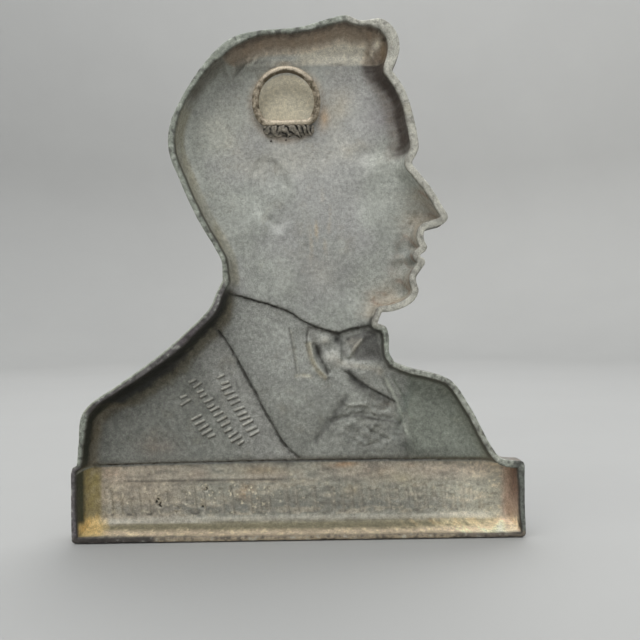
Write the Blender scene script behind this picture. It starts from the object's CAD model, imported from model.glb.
import math

import bmesh
import bpy
import numpy as np
from mathutils import Matrix, Vector
from mathutils.geometry import delaunay_2d_cdt

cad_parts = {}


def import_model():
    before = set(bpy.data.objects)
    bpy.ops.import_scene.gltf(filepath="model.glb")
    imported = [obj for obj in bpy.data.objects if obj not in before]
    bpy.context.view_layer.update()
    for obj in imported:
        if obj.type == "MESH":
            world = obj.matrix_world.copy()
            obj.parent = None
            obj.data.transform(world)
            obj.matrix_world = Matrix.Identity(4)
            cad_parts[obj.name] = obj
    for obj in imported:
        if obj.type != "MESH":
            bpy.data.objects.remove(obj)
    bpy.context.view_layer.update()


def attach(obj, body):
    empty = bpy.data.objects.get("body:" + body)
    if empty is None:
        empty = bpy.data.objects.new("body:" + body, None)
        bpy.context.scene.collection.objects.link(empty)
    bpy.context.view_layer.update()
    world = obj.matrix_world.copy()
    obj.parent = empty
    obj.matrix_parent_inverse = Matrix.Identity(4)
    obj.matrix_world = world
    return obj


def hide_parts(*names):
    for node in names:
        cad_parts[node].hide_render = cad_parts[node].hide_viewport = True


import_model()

MM = 0.001

# ------------------------------------------------------------ sizes, mm
BASE_RIGHT = 172.5
BASE_LEFT = -174.0
BASE_TOP = 56.0
BASE_DEPTH = 30.0
BUST_DEPTH = 26.5
FAR_DEPTH = 20.5
HEAD_DEPTH = 27.5
NECK_DIP = 3.0
WALL = 4.6
THINNEST = 2.6
EDGE_SHARE = 0.50
BASE_BOW = 1.6
WALL_REACH = 7.0
BROW_REACH = 12.0
FOOT_REACH = 5.0

THIRD = 60.5
BROW = (-97.0, 296.0)

RING_WIRE = 5.7
RING_RADIUS = 24.25
RING_CENTRE = (4.25, 339.2159)
RING_BAR_Z = 323.5
RING_CORNER = 9.0
RING_TILT = 13.4342
RING_FLOOR = 22.6
GAP = 0.3
BEAD_LENGTH = 41.0
BEAD_CENTRE_X = 3.0

BAR_Y = -RING_FLOOR + GAP + RING_WIRE / 2
_rise = RING_CENTRE[1] + RING_RADIUS - RING_WIRE / 2 - RING_BAR_Z
ORIGIN = (RING_CENTRE[0],
          BAR_Y + _rise * math.sin(math.radians(RING_TILT)),
          RING_BAR_Z + _rise * math.cos(math.radians(RING_TILT)))


# the photograph's camera: where it stands, and its roll
EYE = (-19.5, 486.4, 167.5)
ROLL = 0.01543


def world(x, y, z):
    return ((x - ORIGIN[0]) * MM, (y - ORIGIN[1]) * MM, (z - ORIGIN[2]) * MM)


# ------------------------------------------------------------ outline
HAIR = [(-77.5, 357.0), (-83.5, 372.0), (-81.0, 387.0), (-70.5, 396.3),
        (-54.0, 395.5), (-43.5, 399.6), (-30.5, 397.5), (-7.5, 391.2),
        (23.0, 389.0), (44.0, 384.0), (62.0, 369.0), (81.5, 342.5),
        (93.0, 317.5), (94.0, 298.5), (86.0, 275.5), (72.5, 245.0),
        (60.5, 224.5), (55.0, 213.0), (54.3, 199.0)]
NEAR_SHOULDER = [(54.3, 199.0), (59.0, 190.0), (64.0, 179.0), (83.5, 159.5),
                 (106.5, 140.5), (137.5, 119.0), (156.5, 106.5), (164.0, 96.0),
                 (166.0, 76.0), (167.5, 59.5)]
FAR_SHOULDER = [(-166.0, 58.5), (-156.0, 60.5), (-148.5, 70.0), (-133.0, 100.0),
                (-119.0, 120.0), (-105.0, 126.0), (-87.0, 130.5), (-76.0, 135.0)]
TIE_EDGE = [(-76.0, 135.0), (-72.3, 142.0), (-72.0, 155.0), (-69.5, 162.0),
            (-63.5, 164.5)]
PROFILE = [(-0.50, -2.04), (-0.36, -2.03), (-0.21, -1.98), (-0.09, -1.90),
           (-0.03, -1.78), (-0.06, -1.62), (0.01, -1.50), (0.055, -1.43),
           (0.045, -1.37), (-0.005, -1.335), (0.06, -1.28), (0.085, -1.22),
           (0.045, -1.12), (0.06, -1.02), (0.15, -0.985), (0.29, -0.945),
           (0.355, -0.85), (0.29, -0.72), (0.13, -0.45), (-0.02, -0.26),
           (-0.085, -0.17), (-0.03, -0.06), (0.00, 0.03), (-0.02, 0.22),
           (-0.075, 0.48), (-0.17, 0.77)]

# width of the flat rim at places along the outline: (x, z, width)
RIM_AT = [(10.5, 388.0, 3.4), (-7.0, 390.0, 4.1), (-43.0, 399.0, 4.8),
          (-56.0, 394.5, 3.6), (-75.0, 389.0, 9.3), (-80.0, 375.0, 9.4),
          (-78.0, 363.0, 7.6), (-78.0, 355.0, 5.6), (-90.0, 335.0, 6.0),
          (-98.0, 305.0, 6.6), (-100.0, 270.0, 5.4), (-100.0, 215.0, 5.4),
          (-80.0, 172.0, 5.2), (-63.0, 165.0, 4.6), (-72.0, 150.0, 4.1),
          (-90.0, 131.0, 4.2), (-119.0, 120.0, 4.4), (-148.0, 70.0, 4.3),
          (-168.0, 57.0, 5.6), (-174.0, 30.0, 4.4), (-150.0, 0.0, 3.0),
          (-60.0, 0.0, 3.2), (40.0, 0.0, 3.2), (110.0, 0.0, 4.0),
          (152.0, 0.0, 4.6), (172.0, 38.0, 3.8), (166.0, 74.0, 3.4),
          (164.0, 93.0, 5.0), (141.0, 116.0, 4.2), (118.0, 132.0, 5.4),
          (92.0, 152.0, 6.6), (70.0, 172.0, 6.0), (58.0, 192.0, 5.2),
          (56.0, 214.0, 3.6), (79.0, 262.0, 4.0), (92.0, 310.0, 4.5),
          (78.0, 342.0, 3.9), (66.5, 360.0, 4.4), (52.0, 376.0, 6.8)]

COLLAR = [(51.0, 189.5), (33.5, 184.5), (7.0, 175.0), (-6.5, 166.5),
          (-17.5, 161.5), (-33.5, 156.5)]
TIE_TOP = [(-33.5, 156.5), (-43.0, 159.5), (-61.0, 163.0)]
LAPEL = [(62.5, 160.0), (51.5, 145.0), (24.0, 93.0), (8.5, 67.0), (-1.5, 57.5)]
LEDGE = [(63.0, 367.5), (49.0, 373.5), (17.0, 375.0), (-30.5, 372.5),
         (-70.0, 370.5), (-77.0, 366.5)]
FAR_LAPEL = [(-39.0, 126.5), (-58.0, 113.5), (-78.0, 101.5)]
FAR_RIDGE = [(-69.0, 123.5), (-80.0, 103.5), (-89.0, 72.0), (-91.0, 58.0)]
FOLD = [(-12.0, 144.0), (-18.0, 131.0), (-25.0, 123.5)]
HAIRLINE = [(-0.31, 0.98), (-0.66, 0.80), (-0.86, 0.66), (-1.02, 0.33),
            (-1.09, 0.0), (-1.39, -0.13), (-1.50, -0.42), (-1.62, -0.20),
            (-2.10, -0.72), (-2.50, -1.0), (-2.66, -1.1)]
JAW = [(-0.42, -2.02), (-0.95, -1.86), (-1.45, -1.52), (-1.66, -1.15),
       (-1.70, -0.90)]


def smooth_run(points, step):
    p = [np.array(q, float) for q in points]
    p = [2 * p[0] - p[1]] + p + [2 * p[-1] - p[-2]]
    out = []
    for a, b, c, d in zip(p, p[1:], p[2:], p[3:]):
        t0 = 0.0
        t1 = t0 + math.sqrt(np.linalg.norm(b - a)) + 1e-9
        t2 = t1 + math.sqrt(np.linalg.norm(c - b)) + 1e-9
        t3 = t2 + math.sqrt(np.linalg.norm(d - c)) + 1e-9
        n = max(1, int(round(np.linalg.norm(c - b) / step)))
        for t in np.linspace(t1, t2, n, endpoint=False):
            a1 = (t1 - t) / (t1 - t0) * a + (t - t0) / (t1 - t0) * b
            a2 = (t2 - t) / (t2 - t1) * b + (t - t1) / (t2 - t1) * c
            a3 = (t3 - t) / (t3 - t2) * c + (t - t2) / (t3 - t2) * d
            b1 = (t2 - t) / (t2 - t0) * a1 + (t - t0) / (t2 - t0) * a2
            b2 = (t3 - t) / (t3 - t1) * a2 + (t - t1) / (t3 - t1) * a3
            out.append((t2 - t) / (t2 - t1) * b1 + (t - t1) / (t2 - t1) * b2)
    return out


def straight_run(points, step):
    out = []
    for a, b in zip(points, points[1:]):
        a, b = np.array(a, float), np.array(b, float)
        n = max(1, int(round(np.linalg.norm(b - a) / step)))
        out += [a + (b - a) * i / n for i in range(n)]
    return out


def outline(step):
    face_line = [(BROW[0] - f * THIRD, BROW[1] + h * THIRD) for f, h in PROFILE]
    r = 2.5
    base = [(167.5, 59.5), (170.6, 58.0), (BASE_RIGHT - 0.4, 54.0),
            (BASE_RIGHT, 30.0), (BASE_RIGHT, r), (BASE_RIGHT - 0.3 * r, 0.3 * r),
            (BASE_RIGHT - r, 0.0), (BASE_LEFT + r, 0.0),
            (BASE_LEFT + 0.3 * r, 0.3 * r), (BASE_LEFT, r),
            (BASE_LEFT + 0.3, 30.0), (BASE_LEFT, 54.5),
            (BASE_LEFT + 1.0, 57.2), (BASE_LEFT + 3.0, 58.3), (-166.0, 58.5)]
    run = smooth_run(HAIR, step) + smooth_run(NEAR_SHOULDER, step)
    run += straight_run(base, step)
    run += smooth_run(FAR_SHOULDER, step) + smooth_run(TIE_EDGE, step)
    run += straight_run([TIE_EDGE[-1], face_line[0]], step)
    run += smooth_run(face_line + [HAIR[0]], step)
    run = np.array(run)
    x, z = run[:, 0], run[:, 1]
    area = 0.5 * np.sum(x * np.roll(z, -1) - np.roll(x, -1) * z)
    return run if area > 0 else run[::-1].copy()


# ------------------------------------------------------------ noise
def lattice(seed):
    return np.random.RandomState(seed).rand(128, 128) * 2.0 - 1.0


LATTICES = {}


def vnoise(u, v, seed):
    """Smooth noise in -1..1 with a period of 1 in u and v."""
    if seed not in LATTICES:
        LATTICES[seed] = lattice(seed)
    g = LATTICES[seed]
    i, j = np.floor(u).astype(int), np.floor(v).astype(int)
    a, b = u - i, v - j
    a, b = a * a * (3 - 2 * a), b * b * (3 - 2 * b)
    i0, i1, j0, j1 = i % 128, (i + 1) % 128, j % 128, (j + 1) % 128
    return (g[j0, i0] * (1 - a) * (1 - b) + g[j0, i1] * a * (1 - b)
            + g[j1, i0] * (1 - a) * b + g[j1, i1] * a * b)


def fbm(x, z, size, octaves, seed):
    out, amp, total = 0.0, 1.0, 0.0
    for k in range(octaves):
        f = 2.0 ** k / size
        out = out + amp * vnoise(x * f + 13.7 * k, z * f - 7.9 * k, seed + k)
        total += amp
        amp *= 0.55
    return out / total


# ------------------------------------------------------------ distances
def inside_distance(x, z, loop):
    x, z = np.asarray(x, float), np.asarray(z, float)
    shape = x.shape
    x, z = x.ravel(), z.ravel()
    a = loop
    b = np.roll(loop, -1, axis=0)
    ex, ez = b[:, 0] - a[:, 0], b[:, 1] - a[:, 1]
    ee = ex * ex + ez * ez
    slope = ex / np.where(ez == 0, 1e-12, ez)
    out = np.empty(len(x))
    for s in range(0, len(x), 2000):
        px, pz = x[s:s + 2000, None], z[s:s + 2000, None]
        wx, wz = px - a[:, 0], pz - a[:, 1]
        t = np.clip((wx * ex + wz * ez) / ee, 0, 1)
        wx -= t * ex
        dz = wz - t * ez
        near = np.sqrt((wx * wx + dz * dz).min(axis=1))
        up = (a[:, 1] <= pz) != (b[:, 1] <= pz)
        cut = a[:, 0] + wz * slope
        odd = (up & (cut > px)).sum(axis=1) % 2 == 1
        out[s:s + 2000] = np.where(odd, near, -near)
    return out.reshape(shape)


def beside(x, z, line):
    line = np.array(line, float)
    best = np.full(np.shape(x), 1e9)
    side = np.zeros(np.shape(x))
    for a, b in zip(line, line[1:]):
        e = b - a
        wx, wz = x - a[0], z - a[1]
        t = np.clip((wx * e[0] + wz * e[1]) / (e @ e), 0, 1)
        d = np.hypot(wx - t * e[0], wz - t * e[1])
        cross = e[0] * wz - e[1] * wx
        take = d < best
        side = np.where(take, np.where(cross >= 0, 1.0, -1.0), side)
        best = np.where(take, d, best)
    u = (line[0] - line[1]) / np.linalg.norm(line[0] - line[1])
    v = (line[-1] - line[-2]) / np.linalg.norm(line[-1] - line[-2])
    over = np.maximum((x - line[0][0]) * u[0] + (z - line[0][1]) * u[1],
                      (x - line[-1][0]) * v[0] + (z - line[-1][1]) * v[1])
    near_end = np.minimum(np.hypot(x - line[0][0], z - line[0][1]),
                          np.hypot(x - line[-1][0], z - line[-1][1]))
    over = np.where(near_end < best + 2.0, np.maximum(over, 0.0), 0.0)
    return side * best, over


def ease(t):
    t = np.clip(t, 0.0, 1.0)
    return t * t * (3.0 - 2.0 * t)


def mound(x, z, cx, cz, sx, sz, tilt=0.0):
    c, s = math.cos(math.radians(tilt)), math.sin(math.radians(tilt))
    u = ((x - cx) * c + (z - cz) * s) / sx
    v = (-(x - cx) * s + (z - cz) * c) / sz
    return np.exp(-(u * u + v * v))


def groove(x, z, line, width, end=6.0):
    d, over = beside(x, z, line)
    return np.exp(-(d / width) ** 2 - (over / end) ** 2)


def overlap(x, z, line, width, fade, end=7.0):
    d, over = beside(x, z, line)
    return ease(d / width + 0.5) * np.exp(-np.maximum(d, 0) / fade) \
        * np.exp(-(over / end) ** 2)


def curve_line(points, step=2.0):
    run = smooth_run(points, step)
    return [tuple(p) for p in run] + [tuple(points[-1])]


# the same landmarks as smooth lines, for the fine surface
COLLAR_LINE = curve_line(COLLAR, 5.0)
LAPEL_LINE = curve_line(LAPEL, 8.0)
LEDGE_LINE = curve_line(LEDGE, 6.0)
FAR_RIDGE_LINE = curve_line(FAR_RIDGE, 6.0)
HAIRLINE_LINE = curve_line(HAIRLINE, 0.08)
JAW_LINE = curve_line(JAW, 0.1)


# ------------------------------------------------------------ strokes
def stroke_rows():
    """Rows of short parallel dashes on shoulder and base, none of
    them touching: (x0, z0, x1, z1, half width)."""
    rng = np.random.RandomState(41)
    shoulder = []
    for (ax, az), (bx, bz), count in (((62, 125), (33.0, 76.5), 12),
                                      ((82.5, 123.0), (44.5, 68.5), 14),
                                      ((92.5, 110.0), (68, 74.5), 9)):
        a, b = np.array([ax, az], float), np.array([bx, bz], float)
        run = (b - a) / count
        along = run / np.linalg.norm(run)
        across = np.array([along[1], -along[0]])
        for i in range(count):
            if count == 9 and i in (2, 3):
                continue
            c = a + run * (i + 0.5)
            lean = across * 0.985 + along * (0.02 + 0.26 * rng.rand())
            c = c + along * 1.5 * (rng.rand() - 0.5)
            full = 3.1 + 0.9 * rng.rand()
            kind = rng.randint(5)
            low, high = ((-full, full), (-full, 0.3 * full), (-full, full), (-0.3 * full, full),
                         (-full, full))[kind]
            p, q = c + lean * low, c + lean * high
            shoulder.append((p[0], p[1], q[0], q[1], 0.72 + 0.25 * rng.rand()))
    base = []
    x = 150.0
    while x > -150.0:
        if rng.rand() > 0.12:
            lean = 1.2 + rng.rand()
            low, high = ((0.0, 1.0), (0.0, 0.9), (0.0, 0.5), (0.45, 0.80))[rng.randint(4)]
            z0, z1 = 15.5 + 19.0 * low, 15.5 + 19.0 * high
            base.append((x + lean * (low - 0.5), z0, x + lean * (high - 0.5), z1, 1.5))
        x -= 7.4
    return shoulder, base


SHOULDER_STROKES, BASE_STROKES = stroke_rows()


def stroke_field(x, z, strokes, soften):
    out = np.zeros(np.shape(x))
    for ax, az, bx, bz, half in strokes:
        pad = half + 3.0 * soften
        m = (x > min(ax, bx) - pad) & (x < max(ax, bx) + pad) \
            & (z > min(az, bz) - pad) & (z < max(az, bz) + pad)
        if not m.any():
            continue
        ex, ez = bx - ax, bz - az
        wx, wz = x[m] - ax, z[m] - az
        t = np.clip((wx * ex + wz * ez) / (ex * ex + ez * ez), 0, 1)
        d = np.hypot(wx - t * ex, wz - t * ez)
        out[m] = np.maximum(out[m], ease((half + soften - d) / (2.0 * soften)))
    return out


# ------------------------------------------------------------ relief
def hair_mask(x, z):
    """1 on the hair, 0 on the skin."""
    f, h = (BROW[0] - x) / THIRD, (z - BROW[1]) / THIRD
    d, over = beside(f, h, HAIRLINE_LINE)
    return ease(-d / 0.07 + 0.5) * ease((z - 214.0) / 12.0)


def strands(x, z):
    """Hair combed back in long arcs around the ear: -1 in the partings, 1 on
    the locks."""
    wx = x + 3.0 * fbm(x, z, 28.0, 2, 50)
    wz = z + 3.0 * fbm(x, z, 28.0, 2, 60)
    r = np.hypot(wx - 16.0, (wz - 268.0) * 0.94)
    t = np.arctan2(wz - 268.0, wx - 16.0)
    n1 = vnoise(r / 5.2, t * 2.2 + 4.0, 71)
    n2 = vnoise(r / 2.3, t * 4.0 + 9.0, 72)
    n3 = vnoise(r / 1.25, t * 8.0, 73)
    return 0.75 * (1 - 2 * np.abs(n1)) + 0.5 * (1 - 2 * np.abs(n2)) + 0.25 * (1 - 2 * np.abs(n3)) - 0.4


def face(x, z, soft):
    """Height of the features of the face, ear and hair: soft 0 is the show
    side, 1 the hollow, where the core blunts them."""
    f, h = (BROW[0] - x) / THIRD, (z - BROW[1]) / THIRD
    w = 1.0 + 0.45 * soft
    crisp = 1.0 - soft
    r = -4.2 * mound(f, h, -0.33, -0.19, 0.25 * w, 0.15 * w)
    r += 3.0 * mound(f, h, -0.32, -0.235, 0.13 * w, 0.10 * w)
    r += 2.0 * groove(f, h, [(-0.08, 0.02), (-0.35, 0.10), (-0.68, 0.04)],
                      0.075 * w, 0.1)
    r += 2.2 * mound(f, h, -0.72, -0.58, 0.34, 0.22, 20)
    r -= 1.2 * mound(f, h, -0.85, -1.10, 0.30, 0.30)
    r -= 1.0 * mound(f, h, -0.75, 0.25, 0.25, 0.22)
    r += 2.8 * mound(f, h, 0.03, -0.88, 0.10 * w, 0.09 * w)
    r -= 0.9 * groove(f, h, [(-0.12, -0.86), (-0.24, -1.05), (-0.36, -1.30)],
                      0.05 * w, 0.1)
    r += 1.3 * mound(f, h, -0.08, -1.25, 0.19, 0.055 * w)
    r += 1.6 * mound(f, h, -0.10, -1.42, 0.17, 0.065 * w)
    r -= 2.0 * groove(f, h, [(0.05, -1.335), (-0.16, -1.33), (-0.33, -1.345)],
                      0.026 * w * w, 0.05)
    r -= 1.1 * mound(f, h, -0.20, -1.58, 0.22, 0.06 * w)
    r += 1.9 * mound(f, h, -0.22, -1.80, 0.21, 0.16)
    if crisp > 0:
        # lids, nose wing, nostril and lips need a finer hand on the show side
        r += 1.5 * groove(f, h, curve_line([(-0.55, -0.25), (-0.42, -0.165), (-0.29, -0.13),
                                            (-0.21, -0.16)], 0.04), 0.026, 0.03)
        r -= 1.1 * groove(f, h, curve_line([(-0.58, -0.20), (-0.43, -0.105), (-0.28, -0.07),
                                            (-0.18, -0.11)], 0.04), 0.022, 0.04)
        r += 1.0 * groove(f, h, curve_line([(-0.55, -0.265), (-0.42, -0.315), (-0.30, -0.32),
                                            (-0.24, -0.30)], 0.04), 0.024, 0.03)
        r -= 0.7 * groove(f, h, curve_line([(-0.53, -0.33), (-0.40, -0.39), (-0.27, -0.39)],
                                           0.04), 0.03, 0.06)
        r -= 1.7 * groove(f, h, curve_line([(-0.04, -0.75), (-0.10, -0.85), (-0.075, -0.96)],
                                           0.04), 0.022, 0.03)
        r -= 1.8 * groove(f, h, [(0.05, -0.955), (0.15, -0.95)], 0.022, 0.03)
        r -= 0.9 * mound(f, h, -0.36, -1.35, 0.04, 0.04)
        r += 0.7 * groove(f, h, [(0.06, -1.285), (-0.10, -1.275), (-0.28, -1.32)], 0.018, 0.05)
    # ear
    c, s = math.cos(math.radians(12)), math.sin(math.radians(12))
    u, v = (f + 1.90), (h + 0.47)
    eu, ev = (u * c + v * s) / 0.27, (-u * s + v * c) / 0.50
    eu = eu * (1.0 + 0.28 * np.clip(-ev, 0, 1))
    rho = np.sqrt(eu * eu + ev * ev)
    ang = np.arctan2(ev, eu)
    plate = ease((1.10 - rho) / (0.20 * w))
    helix = np.exp(-((rho - 0.84) / (0.13 * w)) ** 2) \
        * (1.0 - 0.95 * np.exp(-((ang + 0.35) / 0.55) ** 2))
    inner = np.exp(-((rho - 0.52) / (0.11 * w)) ** 2) \
        * ease((np.abs(np.abs(ang) - 0.0) - 0.9) / 0.5)
    r += 2.0 * plate + 2.3 * helix * plate + 1.5 * inner * crisp
    r -= 3.2 * mound(eu, ev, 0.10, -0.12, 0.34 * w, 0.34 * w) * (0.5 + 0.5 * crisp)
    r += 1.6 * mound(eu, ev, 0.62, -0.18, 0.20, 0.22) * crisp
    r += 1.4 * mound(eu, ev, 0.10, -0.80, 0.40, 0.24)
    # jaw over neck, and the long muscle behind it
    d, over = beside(f, h, JAW_LINE)
    r -= 3.2 * ease(d / (0.20 * w) + 0.4) * np.exp(-np.maximum(d, 0) / 0.9) \
        * np.exp(-(over / 0.15) ** 2)
    r += 1.5 * groove(f, h, [(-1.98, -1.0), (-1.55, -1.70), (-0.98, -2.30)], 0.13 * w, 0.2) \
        * (1.0 - 0.4 * soft)
    # hair over skin
    hair = hair_mask(x, z)
    if crisp > 0:
        r += hair * (1.5 + 0.85 * strands(x, z))
    else:
        r += 0.5 * hair
    return r


def warp(x, z):
    """The hand-cut lines waver a little."""
    return x + 0.7 * fbm(x, z, 14.0, 2, 80), z + 0.7 * fbm(x, z, 14.0, 2, 90)


def layers(x, z, soft):
    """Height of dress, hair roll and base band over the plain ground."""
    w = 0.85 - 0.20 * soft
    a = 1.0 + 0.25 * soft
    xx, zz = warp(x, z)
    r = 2.0 * overlap(xx, zz, COLLAR_LINE, 1.6 * w, 22.0)
    r += 1.2 * overlap(xx, zz, TIE_TOP, 1.6 * w, 12.0)
    r += 2.0 * overlap(xx, zz, LAPEL_LINE[::-1], 1.7 * w, 24.0)
    d, over = beside(xx, zz, LEDGE_LINE[::-1])
    r -= 2.2 * ease(d / (2.0 + 2.0 * soft) + 0.5) * np.exp(-np.maximum(d, 0) / 11.0) \
        * np.exp(-(over / 8.0) ** 2)
    # shirt flap, knot, fold and far wing of the bow tie
    side = 3.6 - (160.0 - zz) * 0.135 - xx
    flap = ease((xx + 12.5) / 2.5) * ease(side / (1.8 * w)) \
        * ease((zz - 122.6) / (2.6 * w)) * ease((163.0 - zz) / 8.0)
    r += 1.5 * a * flap
    r += 0.9 * a * np.exp(-((side - 0.3) / 0.7) ** 2) * ease((zz - 123.0) / 3.0) \
        * ease((160.0 - zz) / 6.0)
    r -= 0.8 * a * np.exp(-((side - 1.9) / 0.9) ** 2) * flap
    ridge = curve_line([(-9.5, 152.0), (-12.2, 143.8), (-16.2, 132.5), (-23.8, 122.6)], 3.0)
    r -= 2.3 * a * groove(xx, zz, ridge, 2.3, 3.0)
    r += 1.1 * a * groove(xx, zz, [(-9.1, 161.0), (-8.4, 147.0)], 0.9, 3.0)
    gulf = curve_line([(-14.6, 148.5), (-16.8, 141.5), (-19.0, 135.5), (-25.6, 125.0)], 3.0)
    r += (2.6 - 0.9 * soft) * a * groove(xx, zz, gulf, 1.35 + 0.3 * soft, 1.5)
    r += 1.4 * a * mound(xx, zz, -17.3, 141.5, 2.4, 6.0, 14)
    r -= 1.2 * a * mound(xx, zz, -23.2, 150.4, 4.2, 3.6, 20)
    r += 2.0 * a * mound(xx, zz, -27.5, 144.5, 5.5, 5.0, 15)
    r += 1.6 * a * mound(xx, zz, -33.8, 152.0, 3.2, 4.4, 35)
    r -= 1.2 * a * mound(xx, zz, -28.5, 135.6, 6.5, 5.0, -10)
    wing = ease((-34.5 - xx) / 3.0) * ease((zz - 130.2 + 0.10 * (xx + 32.0)) / 5.2) \
        * ease((beside(xx, zz, TIE_TOP)[0] + 0.2) / 2.4)
    r += 2.3 * a * wing
    r -= 1.5 * a * groove(xx, zz, curve_line([(-41.0, 138.0), (-47.0, 145.5), (-53.0, 153.0)], 3.0),
                          1.9)
    r += 0.9 * a * groove(xx, zz, [(-38.0, 146.0), (-45.0, 155.0)], 2.0)
    # far lapel over the shirt, and the seam strip
    r += (1.9 - 0.7 * soft) * overlap(xx, zz, FAR_LAPEL, (1.6 + 2.2 * soft) * w, 16.0)
    for off in (-4.6, 4.4):
        r -= 1.1 * a * groove(xx, zz, [(p[0] + off, p[1]) for p in FAR_RIDGE_LINE], 1.0)
    r += 0.8 * a * groove(xx, zz, FAR_RIDGE_LINE, 2.4)
    # folded cloth in the breast pocket: crumpled folds
    cloth = ease(1.35 - np.hypot((xx + 58.0) / 29.0, (zz - 83.0) / 21.0)) \
        * ease((zz - 58.0) / 5.0)
    fold = fbm(xx + 0.6 * zz, zz - 0.3 * xx, 10.0, 3, 110)
    crease = 1.0 - 2.0 * np.abs(fbm(xx, zz, 13.0, 3, 120))
    r += a * cloth * (2.0 * fold + 2.1 * crease - 0.7)
    r += 1.0 * a * groove(xx, zz, curve_line([(-38.4, 106.0), (-31.0, 94.0), (-14.1, 72.2)], 4.0),
                          2.8) * (0.8 + 0.9 * fold)
    r -= 1.3 * a * groove(xx, zz, curve_line([(-42.3, 99.6), (-54.2, 99.8), (-63.5, 91.3)], 3.0),
                          1.3)
    r += 1.1 * a * groove(xx, zz, curve_line([(-30.2, 87.9), (-50.1, 92.5), (-81.8, 85.5)], 4.0),
                          1.7) * (0.8 + 1.1 * fold)
    r += 1.1 * a * groove(xx, zz, [(-52.0, 84.0), (-60.0, 76.0), (-72.0, 72.0)], 1.6)
    # soft wrinkles of the sleeve
    r += 0.9 * a * groove(xx, zz, curve_line([(112.0, 104.5), (99.0, 105.5), (92.0, 108.0),
                                              (86.5, 113.0)], 3.0), 1.1)
    r -= 0.6 * a * groove(xx, zz, curve_line([(109.0, 94.0), (102.5, 87.5), (93.5, 78.0),
                                              (84.0, 64.5)], 4.0), 1.6)
    # base band
    top = BASE_TOP - BASE_BOW * (x / 160.0) ** 2 + 0.35 * fbm(x, z, 22.0, 2, 130)
    band = ease((top - z) / (1.8 * w) + 0.5)
    r += (BASE_DEPTH - BUST_DEPTH) * band
    r -= 1.2 * band * np.exp(-((zz - 9.2) / 2.0) ** 2)
    r -= 0.5 * band * np.exp(-((zz - 40.8) / 1.0) ** 2) * (0.5 + 0.5 * ease((xx + 40) / 60))
    if soft > 0:
        # the core cut its lines sharply: a narrow gutter along each
        ragged = 1.0 + 0.5 * fbm(x, z, 2.4, 2, 95)
        for line, deep, wide in ((COLLAR_LINE, 1.0, 0.60), (TIE_TOP, 1.0, 0.65),
                                 (LAPEL_LINE, 1.1, 0.70), (FAR_LAPEL, 0.4, 1.3)):
            r += soft * deep * groove(xx, zz, line, wide, 5.0) * ragged
        r += soft * 0.9 * np.exp(-((z - top - 0.3) / 0.8) ** 2) * ragged
    return r


def ground(x, z):
    head = ease((z - 165.0) / 40.0)
    r = BUST_DEPTH + (HEAD_DEPTH - BUST_DEPTH) * head
    r -= (BUST_DEPTH - FAR_DEPTH) * ease((-78.0 - x) / 70.0) * (1.0 - head) \
        * ease((z - BASE_TOP) / 6.0 + 0.5)
    r -= NECK_DIP * mound(x, z, 8.0, 197.0, 46.0, 20.0, -18)
    return r


def bend_radius(x, z):
    bust = 17.0 + 8.0 * ease((z - 165.0) / 40.0)
    return 3.5 + (bust - 3.5) * ease((z - BASE_TOP + 1.0) / 10.0)


def plain_front(x, z, d):
    crown = np.clip(d / bend_radius(x, z), 0, 1)
    crown = np.sqrt(np.maximum(1.0 - (1.0 - crown) ** 2, 0))
    return ground(x, z) * (EDGE_SHARE + (1.0 - EDGE_SHARE) * crown)


def front_height(x, z, d):
    feature = layers(x, z, 0.0) + face(x, z, 0.0)
    feature += 0.9 * stroke_field(x, z, BASE_STROKES, 0.9)
    feature += 0.22 * fbm(x, z, 9.0, 3, 140) + 0.08 * fbm(x, z, 2.2, 2, 150)
    high = plain_front(x, z, d) + feature * ease((d - 0.3) / 3.0)
    return np.minimum(high, 31.9)


def rim_width(x, z):
    total, weight = 0.0, 0.0
    for px, pz, width in RIM_AT:
        near = 1.0 / ((x - px) ** 2 + (z - pz) ** 2 + 60.0) ** 2
        total = total + near * width
        weight = weight + near
    return total / weight + 0.22 * fbm(x, z, 16.0, 2, 160) + 0.22 * fbm(x, z, 4.0, 2, 170)


def wall_reach(x, z):
    brow = ease((-50.0 - x) / 20.0) * ease((z - 270.0) / 20.0) \
        * ease((372.0 - z) / 12.0)
    foot = ease((14.0 - z) / 6.0) * ease((150.0 - np.abs(x)) / 10.0)
    return WALL_REACH + (BROW_REACH - WALL_REACH) * brow \
        + (FOOT_REACH - WALL_REACH) * foot


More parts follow.
